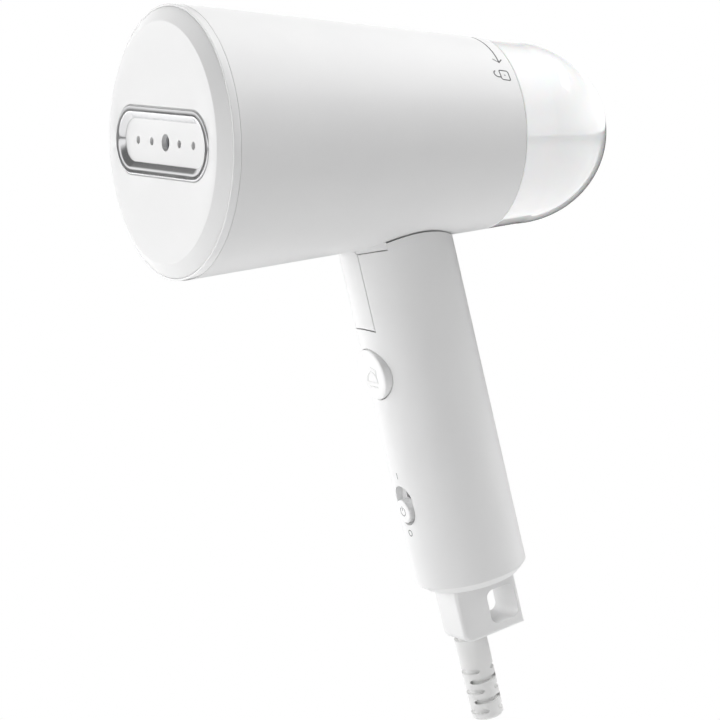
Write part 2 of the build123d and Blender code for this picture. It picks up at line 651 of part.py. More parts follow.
def handle_shell():
    body = turned_down(
        (0, -20),
        (HANDLE_R, -20),
        (HANDLE_R, HANDLE_LENGTH - BEVEL),
        (HANDLE_R - BEVEL, HANDLE_LENGTH),
        (0, HANDLE_LENGTH),
    )
    room = rod_z(INNER_R, -1, HANDLE_LENGTH)
    room -= block(HINGE_BACK, HANDLE_R, -HANDLE_R, HANDLE_R, -2, HINGE_FLOOR)
    body -= room
    body -= HANDLE.location.inverse() * outer_taper(gap=0.5)
    slot = rod_y(TONGUE_R + MOVE, -SLOT_HALF, SLOT_HALF, x=PIVOT_FORWARD, z=PIVOT_DOWN)
    slot += block(PIVOT_FORWARD - TONGUE_R - MOVE, HANDLE_R + 5, -SLOT_HALF, SLOT_HALF, -20, PIVOT_DOWN)
    body -= slot
    front = block(FOLD_FOOT, HANDLE_R + 5, -HANDLE_R, HANDLE_R, -20, PIVOT_DOWN - 10)
    body -= front - rod_y(FOLD_R, -HANDLE_R, HANDLE_R, x=PIVOT_FORWARD, z=PIVOT_DOWN)
    body -= rod_y(PIN_R + PIN_FIT, -PIN_HALF, HANDLE_R, x=PIVOT_FORWARD, z=PIVOT_DOWN)
    body -= rod_y(CAP_COUNTER_R, PIN_HALF - 0.8, HANDLE_R, x=PIVOT_FORWARD, z=PIVOT_DOWN)
    body -= Pos(0, 0, BUTTON_DOWN) * Rot(0, 90, 0) * Pos(0, 0, 15) * Cylinder(BUTTON_R + MOVE, 12)
    middle = SLIDER_DOWN - SLIDER_TRAVEL / 2
    pad = stand(Pos(middle, 0) * SlotOverall(POCKET_LENGTH + 3, POCKET_WIDTH + 3), POCKET_FLOOR - 1.6, 4)
    body += pad & rod_z(HANDLE_R - 0.5, 60, HANDLE_LENGTH - 5)
    body -= stand(Pos(middle, 0) * SlotOverall(POCKET_LENGTH, POCKET_WIDTH), POCKET_FLOOR, 10)
    slit = Rectangle(STEM_LENGTH + SLIDER_TRAVEL + 2 * MOVE, STEM_WIDTH + 2 * MOVE)
    body -= stand(Pos(middle, 0) * slit, POCKET_FLOOR - 5, 10)
    return body


def fold_pin():
    return rod_y(PIN_R, -PIN_HALF + 0.2, PIN_HALF - 1.0, x=PIVOT_FORWARD, z=PIVOT_DOWN)


def pin_cover():
    cover = rod_y(CAP_COUNTER_R - SEAT, PIN_HALF - 0.8, HANDLE_R, x=PIVOT_FORWARD, z=PIVOT_DOWN)
    return cover & rod_z(HANDLE_R, 0, 30)


# ---- controls ----
FLANGE_TOP = sqrt(INNER_R ** 2 - FLANGE_R ** 2) - MOVE
FLANGE_BACK = FLANGE_TOP - 1.2


def button_turned(*points):
    """Solid turned about the button's axis from (radius, forward) points."""
    return Pos(0, 0, BUTTON_DOWN) * Rot(0, 90, 0) * turned_down(*points)


def steam_button():
    cap = button_turned(
        (0, FLANGE_BACK),
        (FLANGE_R, FLANGE_BACK),
        (FLANGE_R, FLANGE_TOP),
        (BUTTON_R, FLANGE_TOP),
        (BUTTON_R, BUTTON_FACE - 0.5),
        (BUTTON_R - 0.5, BUTTON_FACE),
        (0, BUTTON_FACE + 0.3),
    )
    cap -= button_turned((3.2, FLANGE_BACK), (7.0, FLANGE_BACK), (7.0, BUTTON_FACE - 2), (3.2, BUTTON_FACE - 2))
    return cap + button_turned((0, BUTTON_REST), (1.6, BUTTON_REST), (1.6, FLANGE_BACK), (0, FLANGE_BACK))


BOARD_FRONT = BOARD_BACK + BOARD_THICK
SWITCH_FRONT = BOARD_FRONT + SWITCH_HEIGHT
BUTTON_REST = SWITCH_FRONT + PLUNGER + BUTTON_TRAVEL + 0.2


def button_spring():
    coil = spring(BUTTON_SPRING_R, SPRING_WIRE, BOARD_FRONT + 0.1, BUTTON_FACE - 2.1, 6)
    return Pos(0, 0, BUTTON_DOWN) * Rot(0, 90, 0) * coil


def button_switch():
    low, high = BUTTON_DOWN - SWITCH_HALF, BUTTON_DOWN + SWITCH_HALF
    body = block(BOARD_FRONT, SWITCH_FRONT, -SWITCH_HALF, SWITCH_HALF, low, high)
    return body + Pos(0, 0, BUTTON_DOWN) * Rot(0, 90, 0) * rod_z(1.5, SWITCH_FRONT, SWITCH_FRONT + PLUNGER)


def power_slider():
    knob = Pos(0, 0, SLIDER_DOWN) * Rot(0, 90, 0) * turned_down(
        (0, POCKET_FLOOR + MOVE),
        (SLIDER_R, POCKET_FLOOR + MOVE),
        (SLIDER_R, SLIDER_FACE - 0.6),
        (SLIDER_R - 0.6, SLIDER_FACE),
        (0, SLIDER_FACE),
    )
    stem = stand(Pos(SLIDER_DOWN, 0) * Rectangle(STEM_LENGTH, STEM_WIDTH), SLIDE_SWITCH_FRONT + MOVE, 6)
    return knob + stem


SLIDE_SWITCH_FRONT = BOARD_FRONT + SLIDE_SWITCH_HEIGHT


def slide_switch():
    middle = SLIDER_DOWN - SLIDER_TRAVEL / 2
    return block(BOARD_FRONT, SLIDE_SWITCH_FRONT, -4, 4, middle - 7, middle + 7)


def screw_forward(point, length, y, z):
    """Screw driven backwards into the handle's frame."""
    return Pos(0, y, z) * Rot(0, 90, 0) * screw(point, SCREW_HEAD, length)


BOARD_ROWS = (BOARD_TOP + 15.0, BOARD_END - 5.0)
BOARD_SCREWS = [(sign * BOARD_SCREW_Y, row) for row in BOARD_ROWS for sign in (-1, 1)]
RELAY_TOP = BUTTON_DOWN + FLANGE_R + 4.1


def control_board():
    board = block(BOARD_BACK, BOARD_FRONT, -BOARD_WIDTH / 2, BOARD_WIDTH / 2, BOARD_TOP, BOARD_END)
    for y, z in BOARD_SCREWS:
        board -= Pos(0, y, z) * Rot(0, 90, 0) * rod_z(SCREW_R + SEAT, BOARD_BACK, BOARD_FRONT)
    return board


def board_screws():
    return [screw_forward(FRAME_FRONT + 0.3, BOARD_FRONT - FRAME_FRONT - 0.3, y, z) for y, z in BOARD_SCREWS]


def relay():
    return block(BOARD_FRONT, BOARD_FRONT + 9, -9.5, 0.5, RELAY_TOP, RELAY_TOP + 15)


def capacitor():
    return Pos(0, 6.5, RELAY_TOP + 6) * Rot(0, 90, 0) * rod_z(4.0, BOARD_FRONT, BOARD_FRONT + 9)


FRAME_REAR = FRAME_FRONT - FRAME_THICK


def inner_frame():
    half = sqrt(INNER_R ** 2 - FRAME_REAR ** 2) - SEAT
    plate = block(FRAME_REAR, FRAME_FRONT, -half, half, BOARD_TOP - 2, FRAME_END)
    for y, z in BOARD_SCREWS:
        plate += Pos(0, y, z) * Rot(0, 90, 0) * rod_z(2.6, FRAME_FRONT, BOARD_BACK)
        plate -= Pos(0, y, z) * Rot(0, 90, 0) * rod_z(SCREW_R, FRAME_FRONT, BOARD_BACK)
    top = GUARD_FORWARD - 0.5
    bed = block(FRAME_FRONT, top, -CLAMP_Y - 3, CLAMP_Y + 3, CLAMP_DOWN - CLAMP_HALF, CLAMP_DOWN + CLAMP_HALF)
    bed -= rod_z(CORD_R, CLAMP_DOWN - CLAMP_HALF, CLAMP_DOWN + CLAMP_HALF, x=GUARD_FORWARD)
    for sign in (-1, 1):
        bed -= Pos(0, sign * CLAMP_Y, CLAMP_DOWN) * Rot(0, 90, 0) * rod_z(SCREW_R, FRAME_FRONT, top)
        y = sign * CAP_SCREW_Y
        foot = block(CAP_SCREW_X - 2.5, FRAME_REAR, y - 3, y + 3, FRAME_END - 12, FRAME_END)
        foot -= rod_z(SCREW_R, FRAME_END - 10, FRAME_END, x=CAP_SCREW_X, y=y)
        plate += foot & rod_z(INNER_R - SEAT, BOARD_TOP, FRAME_END)
    return plate + bed


def cord_clamp():
    low = GUARD_FORWARD + 0.5
    top, bottom = CLAMP_DOWN - CLAMP_HALF, CLAMP_DOWN + CLAMP_HALF
    bar = block(low, low + CLAMP_THICK, -CLAMP_Y - 3, CLAMP_Y + 3, top, bottom)
    bar -= rod_z(CORD_R, CLAMP_DOWN - CLAMP_HALF, CLAMP_DOWN + CLAMP_HALF, x=GUARD_FORWARD)
    for sign in (-1, 1):
        bar -= Pos(0, sign * CLAMP_Y, CLAMP_DOWN) * Rot(0, 90, 0) * rod_z(SCREW_R + SEAT, low, low + CLAMP_THICK)
    return bar


def clamp_screws():
    point = FRAME_FRONT + 1.0
    length = GUARD_FORWARD + 0.5 + CLAMP_THICK - point
    return [screw_forward(point, length, sign * CLAMP_Y, CLAMP_DOWN) for sign in (-1, 1)]


def terminal_block():
    top, bottom = BOARD_END - 15, BOARD_END - 5
    back = FRAME_REAR - 9
    body = block(back, FRAME_REAR, -9, 9, top, bottom)
    for y in (-6, 0, 6):
        body -= rod_z(1.6, top, bottom, x=back + 4.5, y=y)
        body -= Pos(0, y, (top + bottom) / 2) * Rot(0, 90, 0) * rod_z(1.3, back, back + 2.8)
    return body


# ---- end cap with the hanging loop, and the cord guard ----
CAP_COUNTER = CAP_END - CAP_SCREW_HEAD - 0.2


def loop_cap():
    spigot_r = INNER_R - SEAT
    plate_top = HANDLE_LENGTH - 2.0
    cap = turned_down(
        (0, plate_top),
        (spigot_r - 1.8, plate_top),
        (spigot_r - 1.8, FRAME_END + SEAT),
        (spigot_r, FRAME_END + SEAT),
        (spigot_r, HANDLE_LENGTH - 1.8),
        (HANDLE_R - BEVEL - 1.0, HANDLE_LENGTH - 0.4),
        (HANDLE_R - BEVEL - 0.3, HANDLE_LENGTH + SEAT),
        (HANDLE_R - BEVEL - 0.3 - CAP_THICK, CAP_END),
        (0, CAP_END),
    )
    rim = rod_z(HANDLE_R, HANDLE_LENGTH - 2.5, HANDLE_LENGTH) - rod_z(spigot_r, 0, CAP_END)
    cap -= rim
    loop = block(-LOOP_BACK, LOOP_FRONT, -LOOP_WIDTH / 2, LOOP_WIDTH / 2, CAP_END - 1, LOOP_END)
    nose = [e for e in loop.edges().filter_by(Axis.Y) if e.center().Z > LOOP_END - 0.1 and e.center().X > 0]
    loop = fillet(nose, 3.5)
    loop = fillet(loop.edges().filter_by(Axis.Z), 1.4)
    hole_front = -LOOP_BACK + LOOP_BAR + LOOP_HOLE
    hole = block(-LOOP_BACK + LOOP_BAR, hole_front, -LOOP_WIDTH, LOOP_WIDTH, CAP_END + 4.6, LOOP_END - LOOP_FLOOR)
    hole = fillet(hole.edges().filter_by(Axis.Y), 2.6)
    body = cap + loop - hole
    body -= rod_z(CORD_R + GUARD_NECK, FRAME_END, LOOP_END + 1, x=GUARD_FORWARD)
    for sign in (-1, 1):
        body -= rod_z(SCREW_R + SEAT, FRAME_END, CAP_END, x=CAP_SCREW_X, y=sign * CAP_SCREW_Y)
        body -= rod_z(SCREW_HEAD_R + MOVE, CAP_COUNTER, CAP_END, x=CAP_SCREW_X, y=sign * CAP_SCREW_Y)
    return body


def cap_screws():
    point = FRAME_END - 8
    single = screw(point, CAP_SCREW_HEAD, CAP_COUNTER - point)
    return [Pos(CAP_SCREW_X, sign * CAP_SCREW_Y, 0) * single for sign in (-1, 1)]


def cord_guard():
    plate_top = HANDLE_LENGTH - 2.0
    neck = CORD_R + GUARD_NECK - SEAT
    tip = LOOP_END + GUARD_LENGTH
    body = turned_down(
        (CORD_R, plate_top - 2 - SEAT),
        (6.4, plate_top - 2 - SEAT),
        (6.4, plate_top - SEAT),
        (neck, plate_top - SEAT),
        (neck, LOOP_END + SEAT),
        (GUARD_R, LOOP_END + SEAT),
        (GUARD_TIP_R, tip - 0.8),
        (GUARD_TIP_R - 0.8, tip),
        (CORD_R, tip),
    )
    first = tip - 3.2 - (SLIT_COUNT - 1) * SLIT_PITCH
    core = CORD_R + 0.8
    for index in range(SLIT_COUNT):
        z = first + index * SLIT_PITCH
        for side in (0, 180):
            cut = stand(Pos(z, 0) * SlotOverall(10.2, SLIT, rotation=90), core * 0.35, 8)
            cut -= rod_z(core, z - SLIT, z + SLIT)
            body -= Rot(0, 0, side + 90 * (index % 2)) * cut
    return Pos(GUARD_FORWARD, 0, 0) * body


# ---- write the parts ----
os.makedirs("parts", exist_ok=True)

ELEMENT = heating_element()
BARREL_PARTS = {
    "barrel_shell": barrel_shell(),
    "front_ring": front_ring(),
    "face_plate": face_plate(),
    "steam_bezel": steam_bezel(),
    "steam_plate": steam_plate(),
    "heating_element": ELEMENT,
    "boiler": boiler(ELEMENT),
    "boiler_lid": boiler_lid(),
    "boiler_gasket": boiler_gasket(),
    "boiler_screws": Compound(children=boiler_screws()),
    "insulation_wrap": insulation_wrap(),
    "heat_shield": heat_shield(),
    "thermostat": thermostat(),
    "thermal_fuse": thermal_fuse(),
    "pump": pump(),
    "pump_bracket": pump_bracket(),
    "bracket_screws": Compound(children=bracket_screws()),
    "outlet_hose": outlet_hose(),
    "inlet_hose": inlet_hose(),
    "bulkhead": bulkhead(),
    "bulkhead_screws": Compound(children=bulkhead_screws()),
    "tank_shell": tank_shell(),
    "tank_cover": tank_cover(),
    "tank_seal": tank_seal(),
    "valve_poppet": valve_poppet(),
    "valve_spring": valve_spring(),
    "filler_plug": filler_plug(),
}
HANDLE_PARTS = {
    "handle_shell": handle_shell(),
    "fold_pin": fold_pin(),
    "pin_cover": pin_cover(),
    "steam_button": steam_button(),
    "button_spring": button_spring(),
    "button_switch": button_switch(),
    "power_slider": power_slider(),
    "slide_switch": slide_switch(),
    "control_board": control_board(),
    "board_screws": Compound(children=board_screws()),
    "relay": relay(),
    "capacitor": capacitor(),
    "inner_frame": inner_frame(),
    "cord_clamp": cord_clamp(),
    "clamp_screws": Compound(children=clamp_screws()),
    "terminal_block": terminal_block(),
    "loop_cap": loop_cap(),
    "cap_screws": Compound(children=cap_screws()),
    "cord_guard": cord_guard(),
}

for name, shape in BARREL_PARTS.items():
    export_step(shape, f"parts/{name}.step")
for name, shape in HANDLE_PARTS.items():
    export_step(HANDLE.location * shape, f"parts/{name}.step")

print("fold pin at", PIVOT, "fold clearance radius", round(FOLD_R, 2))
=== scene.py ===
# %% [markdown]
# # Handheld garment steamer
# The steamer has a tapered white barrel, a domed water tank behind it and a round handle
# that folds forward. The engineering model arrives as a fixed frame of named pieces. This
# lesson gives every piece its finish, and rebuilds the ones that the eye rests on with
# softer edges and smoother curves.

# %% Load the fixed frame
import json
import math

import bmesh
import bpy
from mathutils import Matrix, Vector


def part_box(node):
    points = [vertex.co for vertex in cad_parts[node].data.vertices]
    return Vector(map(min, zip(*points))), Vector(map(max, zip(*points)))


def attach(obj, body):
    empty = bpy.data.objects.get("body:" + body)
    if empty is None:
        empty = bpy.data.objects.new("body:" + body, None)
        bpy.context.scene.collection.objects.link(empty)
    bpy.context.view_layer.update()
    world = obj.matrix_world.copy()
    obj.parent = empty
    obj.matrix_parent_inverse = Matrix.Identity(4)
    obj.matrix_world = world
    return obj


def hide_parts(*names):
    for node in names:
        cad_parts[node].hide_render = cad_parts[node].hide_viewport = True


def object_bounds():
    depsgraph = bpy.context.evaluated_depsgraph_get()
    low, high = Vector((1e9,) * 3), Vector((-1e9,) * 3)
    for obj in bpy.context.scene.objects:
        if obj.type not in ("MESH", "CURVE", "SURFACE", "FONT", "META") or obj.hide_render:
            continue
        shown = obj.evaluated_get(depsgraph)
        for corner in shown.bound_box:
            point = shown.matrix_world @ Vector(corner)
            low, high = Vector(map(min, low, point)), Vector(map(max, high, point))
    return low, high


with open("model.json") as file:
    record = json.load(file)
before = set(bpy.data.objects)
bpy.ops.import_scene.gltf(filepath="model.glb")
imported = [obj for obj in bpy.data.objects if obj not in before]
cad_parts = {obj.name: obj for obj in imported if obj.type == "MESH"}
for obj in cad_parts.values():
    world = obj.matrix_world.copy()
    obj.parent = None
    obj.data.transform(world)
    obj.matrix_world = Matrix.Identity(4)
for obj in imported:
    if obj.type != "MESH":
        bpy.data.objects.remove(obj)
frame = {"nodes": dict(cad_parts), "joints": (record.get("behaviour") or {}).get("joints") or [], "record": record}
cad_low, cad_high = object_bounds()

MM = 0.001
NODES = frame["nodes"]
print("pieces in the frame:", len(NODES))
print("overall mm:", [round(s / MM, 1) for s in cad_high - cad_low])

# %% [markdown]
# ## Where things are
# Two lines carry the whole steamer: the barrel's axis along X, and the handle's axis,
# which leans back. The barrel's axis is the frame's own X axis. The handle's axis is read
# from two motions in the record: the trigger is pressed across the handle, and the power
# switch slides along it. A matrix built from those two directions lets handle pieces be
# drawn upright and then put in place.

# %% Read the handle's own axes
JOINTS = {j["name"]: j for j in frame["joints"]}
MOUNTS = {m["name"]: m for m in frame["record"]["mounts"]}
FORWARD = -Vector(JOINTS["button_press"]["axis"])
DOWN = -Vector(JOINTS["power_slide"]["axis"])
GRIP_DOWN = 62.0
HANDLE_TOP = Vector(MOUNTS["grip"]["pos_m"]) - DOWN * GRIP_DOWN * MM
HANDLE_TURN = Matrix([FORWARD, DOWN.cross(FORWARD), DOWN]).transposed().to_4x4()
HANDLE = Matrix.Translation(HANDLE_TOP) @ HANDLE_TURN
print("handle axis starts at mm", [round(c / MM, 2) for c in HANDLE_TOP])
print("handle leans by degrees", round(math.degrees(math.asin(DOWN.x)), 2))

# %% [markdown]
# ## A short way to write node trees
# Geometry and shader trees are both graphs of nodes. Writing each link by hand hides the
# idea, so this helper adds a node, fills its sockets in order with values or with other
# nodes' outputs, and sets its options by name.


# %% Node tree helper
class Tree:
    """A node tree with named inputs and outputs, written one node at a time."""

    def __init__(self, name, kind, inputs, outputs):
        self.tree = bpy.data.node_groups.new(name, kind)
        for label, socket, value in inputs:
            made = self.tree.interface.new_socket(name=label, in_out="INPUT", socket_type=socket)
            if value is not None:
                made.default_value = value
        for label, socket in outputs:
            self.tree.interface.new_socket(name=label, in_out="OUTPUT", socket_type=socket)
        self.given = self.tree.nodes.new("NodeGroupInput").outputs
        self.made = self.tree.nodes.new("NodeGroupOutput").inputs

    def add(self, kind, *values, **options):
        return add_node(self.tree, kind, *values, **options)

    def math(self, operation, *values):
        return self.add("ShaderNodeMath", *values, operation=operation).outputs[0]

    def result(self, label, source):
        self.tree.links.new(source, self.made[label])


def add_node(tree, kind, *values, **options):
    """One node: options set it up, values fill its sockets in order, None leaves one alone."""
    node = tree.nodes.new(kind)
    for label, value in options.items():
        setattr(node, label, value)
    for socket, value in zip(node.inputs, values):
        if isinstance(value, bpy.types.NodeSocket):
            tree.links.new(value, socket)
        elif value is not None:
            socket.default_value = value
    return node


# %% [markdown]
# ## Shader groups: the marks that several finishes share
# Moulded plastic, rubber and metal all have a grain, a slightly uneven tone and softer
# edges, and here the edges are also painted lighter, a painted highlight along them. Each effect is built once as
# a group and placed in the materials with its own values. The groups give out only masks, colours and heights, and
# the shader itself stays in each material.

# %% Group: fine surface grain
grain = Tree(
    "moulded_grain",
    "ShaderNodeTree",
    [
        ("Grain Size", "NodeSocketFloat", 0.4),
        ("Smooth", "NodeSocketFloat", 0.3),
        ("Rough", "NodeSocketFloat", 0.5),
    ],
    [("Height", "NodeSocketFloat"), ("Roughness", "NodeSocketFloat")],
)
grain_place = grain.add("ShaderNodeTexCoord").outputs["Object"]
grain_scale = grain.math("DIVIDE", 1.0 / MM, grain.given["Grain Size"])
grain_fine = grain.add("ShaderNodeTexNoise", grain_place, None, grain_scale, 3.0, 0.6)
grain_broad = grain.add("ShaderNodeTexNoise", grain_place, None, 55.0, 4.0, 0.55)
grain_share = grain.math("MULTIPLY", grain_fine.outputs[0], 0.3)
grain_mixed = grain.math("MULTIPLY_ADD", grain_broad.outputs[0], 0.7, grain_share)
grain_ends = grain.given["Smooth"], grain.given["Rough"]
grain_rough = grain.add("ShaderNodeMapRange", grain_mixed, 0.3, 0.7, *grain_ends)
grain.result("Height", grain_fine.outputs[0])
grain.result("Roughness", grain_rough.outputs[0])
print("grain nodes:", len(grain.tree.nodes))

# %% Group: rounded edges, with a mask for a painted highlight along them
edges = Tree(
    "worn_edges",
    "ShaderNodeTree",
    [("Reach", "NodeSocketFloat", 0.3 * MM), ("Amount", "NodeSocketFloat", 1.0)],
    [("Mask", "NodeSocketFloat"), ("Normal", "NodeSocketVector")],
)
edge_bevel = edges.add("ShaderNodeBevel", edges.given["Reach"], samples=4)
edge_plain = edges.add("ShaderNodeNewGeometry").outputs["Normal"]
edge_match = edges.add("ShaderNodeVectorMath", edge_bevel.outputs[0], edge_plain, operation="DOT_PRODUCT")
# The mask marks where the painted highlight goes: the rounded band of each edge, broken up by noise.
edge_open = edges.add("ShaderNodeMapRange", edge_match.outputs["Value"], 1.0, 0.8, 0.0, 1.0)
edge_place = edges.add("ShaderNodeTexCoord").outputs["Object"]
edge_noise = edges.add("ShaderNodeTexNoise", edge_place, None, 900.0, 3.0, 0.6)
edge_broken = edges.math("MULTIPLY", edge_open.outputs[0], edge_noise.outputs[0])
edge_mask = edges.math("MULTIPLY", edge_broken, edges.given["Amount"])
edges.result("Mask", edge_mask)
edges.result("Normal", edge_bevel.outputs[0])
print("edge nodes:", len(edges.tree.nodes))

# %% Group: uneven tone, as in any moulded or cast part
tone = Tree(
    "uneven_tone",
    "ShaderNodeTree",
    [
        ("Light Tone", "NodeSocketColor", (0.8, 0.8, 0.8, 1)),
        ("Dark Tone", "NodeSocketColor", (0.7, 0.7, 0.7, 1)),
        ("Patch Size", "NodeSocketFloat", 25.0),
        ("Specks", "NodeSocketFloat", 0.0),
    ],
    [("Colour", "NodeSocketColor")],
)
tone_place = tone.add("ShaderNodeTexCoord").outputs["Object"]
tone_scale = tone.math("DIVIDE", 1.0 / MM, tone.given["Patch Size"])
tone_patch = tone.add("ShaderNodeTexNoise", tone_place, None, tone_scale, 2.0, 0.5)
tone_patch_range = tone.add("ShaderNodeMapRange", tone_patch.outputs[0], 0.35, 0.65, 0.0, 1.0)
tone_speck = tone.add("ShaderNodeTexNoise", tone_place, None, 1400.0, 2.0, 0.7)
tone_speck_range = tone.add("ShaderNodeMapRange", tone_speck.outputs[0], 0.68, 0.76, 0.0, 1.0)
tone_specks = tone_speck_range.outputs[0]
tone_share = tone.math("MULTIPLY_ADD", tone_specks, tone.given["Specks"], tone_patch_range.outputs[0])
tone_mix = tone.add("ShaderNodeMix", tone_share, data_type="RGBA", clamp_factor=True)
tone.tree.links.new(tone.given["Light Tone"], tone_mix.inputs[6])
tone.tree.links.new(tone.given["Dark Tone"], tone_mix.inputs[7])
tone.result("Colour", tone_mix.outputs[2])
print("tone nodes:", len(tone.tree.nodes))

# %% Group: fine parallel scratches of a brushed or turned metal
brushed = Tree(
    "brushed_lines",
    "ShaderNodeTree",
    [("Line Size", "NodeSocketFloat", 0.25), ("Stretch", "NodeSocketFloat", 0.03)],
    [("Height", "NodeSocketFloat"), ("Mask", "NodeSocketFloat")],
)
brushed_place = brushed.add("ShaderNodeTexCoord").outputs["Object"]
brushed_squash = brushed.add("ShaderNodeCombineXYZ", 1.0, brushed.given["Stretch"], 1.0).outputs[0]
brushed_long = brushed.add("ShaderNodeVectorMath", brushed_place, brushed_squash, operation="MULTIPLY")
brushed_scale = brushed.math("DIVIDE", 1.0 / MM, brushed.given["Line Size"])
brushed_noise = brushed.add("ShaderNodeTexNoise", brushed_long.outputs[0], None, brushed_scale, 2.0, 0.5)
brushed_mask = brushed.add("ShaderNodeMapRange", brushed_noise.outputs[0], 0.35, 0.65, 0.0, 1.0)
brushed.result("Height", brushed_noise.outputs[0])
brushed.result("Mask", brushed_mask.outputs[0])
print("brushed nodes:", len(brushed.tree.nodes))

# %% [markdown]
# ## Finishes
# Every visible plastic on a steamer is one of a few: satin shells, glossy trims, a milky
# tank and a soft rubber sleeve. A single function could make them all from one flat
# colour, but the eye would read that as paint. Here each finish mixes two close tones,
# varies its roughness with the grain, rounds its edges a little and paints them lighter, a
# painted highlight along each edge. A real milky tank also passes light on through its wall.
# This finish does not follow that light. A small emission stands in for it, which is a
# shortcut: a real tank gives off no light of its own.


# %% Build one finish
# Painted highlight: along rounded edges the base colour is raised by this gain and this lift.
EDGE_LIFT, EDGE_GAIN = 0.02, 1.06


def finish_of(
    name, light, dark, smooth, rough,
    size=0.35, depth=0.02, reach=0.25, wear=0.3, patch=30.0, specks=0.0, **fixed
):
    """A Principled material that takes tone, roughness, normal and a painted edge highlight from the shared
    groups.
    """
    made = bpy.data.materials.new(name)
    made.use_nodes = True
    tree = made.node_tree
    shader = tree.nodes["Principled BSDF"]

    def group(source, **given):
        node = add_node(tree, "ShaderNodeGroup", node_tree=source.tree)
        for label, value in given.items():
            node.inputs[label.replace("_", " ")].default_value = value
        return node

    colour = group(tone, Light_Tone=(*light, 1), Dark_Tone=(*dark, 1), Patch_Size=patch, Specks=specks)
    surface = group(grain, Grain_Size=size, Smooth=smooth, Rough=rough)
    edge = group(edges, Reach=reach * MM, Amount=wear)
    # Painted highlight: the edge mask mixes a lighter colour into the base along every rounded edge.
    lit_edge_mix = add_node(tree, "ShaderNodeMix", data_type="RGBA")
    lit_edge_mix.inputs[7].default_value = (*[min(1.0, c * EDGE_GAIN + EDGE_LIFT) for c in light], 1)
    tree.links.new(edge.outputs["Mask"], lit_edge_mix.inputs[0])
    tree.links.new(colour.outputs["Colour"], lit_edge_mix.inputs[6])
    bump = add_node(tree, "ShaderNodeBump")
    bump.inputs["Strength"].default_value = 1.0
    bump.inputs["Distance"].default_value = depth * MM
    tree.links.new(surface.outputs["Height"], bump.inputs["Height"])
    tree.links.new(edge.outputs["Normal"], bump.inputs["Normal"])
    tree.links.new(lit_edge_mix.outputs[2], shader.inputs["Base Color"])
    tree.links.new(surface.outputs["Roughness"], shader.inputs["Roughness"])
    tree.links.new(bump.outputs[0], shader.inputs["Normal"])
    for label, value in fixed.items():
        shader.inputs[label.replace("_", " ")].default_value = value
    return made


# %% Finishes of the outside
FINISH = {}


def add_finish(name, *tones, **options):
    FINISH[name] = finish_of(name, *tones, **options)


add_finish("shell_white", (0.80, 0.80, 0.80), (0.785, 0.785, 0.787), 0.36, 0.5, depth=0.006)
add_finish("face_white", (0.775, 0.775, 0.775), (0.76, 0.76, 0.76), 0.3, 0.42, depth=0.005)
add_finish("ring_white", (0.84, 0.84, 0.84), (0.825, 0.825, 0.83), 0.1, 0.2, depth=0.002, Coat_Weight=0.3)
add_finish(
    "tank_plastic", (0.89, 0.893, 0.896), (0.875, 0.88, 0.885), 0.03, 0.07, depth=0.001,
    Coat_Weight=1.0, Coat_Roughness=0.02, Subsurface_Weight=0.15, Subsurface_Scale=0.004,
    Emission_Color=(1.0, 1.0, 1.0, 1.0), Emission_Strength=0.12,
)
add_finish("control_white", (0.86, 0.86, 0.86), (0.845, 0.845, 0.845), 0.22, 0.34, depth=0.003)
add_finish("guard_rubber", (0.8, 0.8, 0.795), (0.775, 0.775, 0.77), 0.42, 0.58, depth=0.012, specks=0.2)
add_finish("print_grey", (0.10, 0.10, 0.105), (0.14, 0.14, 0.145), 0.45, 0.6, depth=0.002, wear=0.0)
print("outside finishes:", sorted(FINISH))

# %% Finishes of the inside
add_finish(
    "cast_aluminium", (0.6, 0.61, 0.63), (0.5, 0.51, 0.53), 0.34, 0.6,
    size=0.9, depth=0.08, specks=0.5, Metallic=1.0,
)
add_finish("brass", (0.78, 0.6, 0.28), (0.66, 0.5, 0.22), 0.2, 0.36, depth=0.01, Metallic=1.0)
add_finish("seal_rubber", (0.5, 0.09, 0.06), (0.42, 0.07, 0.05), 0.4, 0.6, depth=0.02)
add_finish(
    "hose_rubber", (0.8, 0.8, 0.78), (0.72, 0.72, 0.7), 0.25, 0.4,
    depth=0.01, Subsurface_Weight=0.2, Subsurface_Scale=0.003,
)
add_finish(
    "inner_plastic", (0.05, 0.053, 0.058), (0.036, 0.038, 0.042), 0.38, 0.58,
    size=0.5, depth=0.03, specks=0.2,
)
add_finish("pump_plastic", (0.06, 0.12, 0.36), (0.045, 0.09, 0.28), 0.3, 0.5, size=0.5, depth=0.03)
add_finish(
    "board", (0.015, 0.12, 0.045), (0.01, 0.085, 0.03), 0.24, 0.38,
    size=1.2, depth=0.02, specks=0.6, patch=4.0,
)
add_finish("heat_part", (0.78, 0.74, 0.65), (0.68, 0.63, 0.53), 0.2, 0.45, size=0.6, depth=0.02, specks=0.5)
add_finish(
    "wrap", (0.74, 0.71, 0.6), (0.56, 0.53, 0.42), 0.85, 1.0,
    size=1.6, depth=0.5, patch=3.0, specks=0.8,
)
print("finishes so far:", len(FINISH))


# %% [markdown]
# ## Metal with a direction
# Drawn steel and the satin frame round the steam outlet are polished along one direction,
# so their finish adds the brushed lines to the same groups.


# %% Build a brushed metal
def brushed_metal(name, light, dark, smooth, rough, line, stretch, depth):
    """A metal finish whose bump follows the brushed lines in place of the grain."""
    made = finish_of(name, light, dark, smooth, rough, depth=depth, wear=0.5, Metallic=1.0)
    tree = made.node_tree
    bump = next(n for n in tree.nodes if n.type == "BUMP")
    lines = add_node(tree, "ShaderNodeGroup", node_tree=brushed.tree)
    lines.inputs["Line Size"].default_value = line
    lines.inputs["Stretch"].default_value = stretch
    tree.links.new(lines.outputs["Height"], bump.inputs["Height"])
    return made


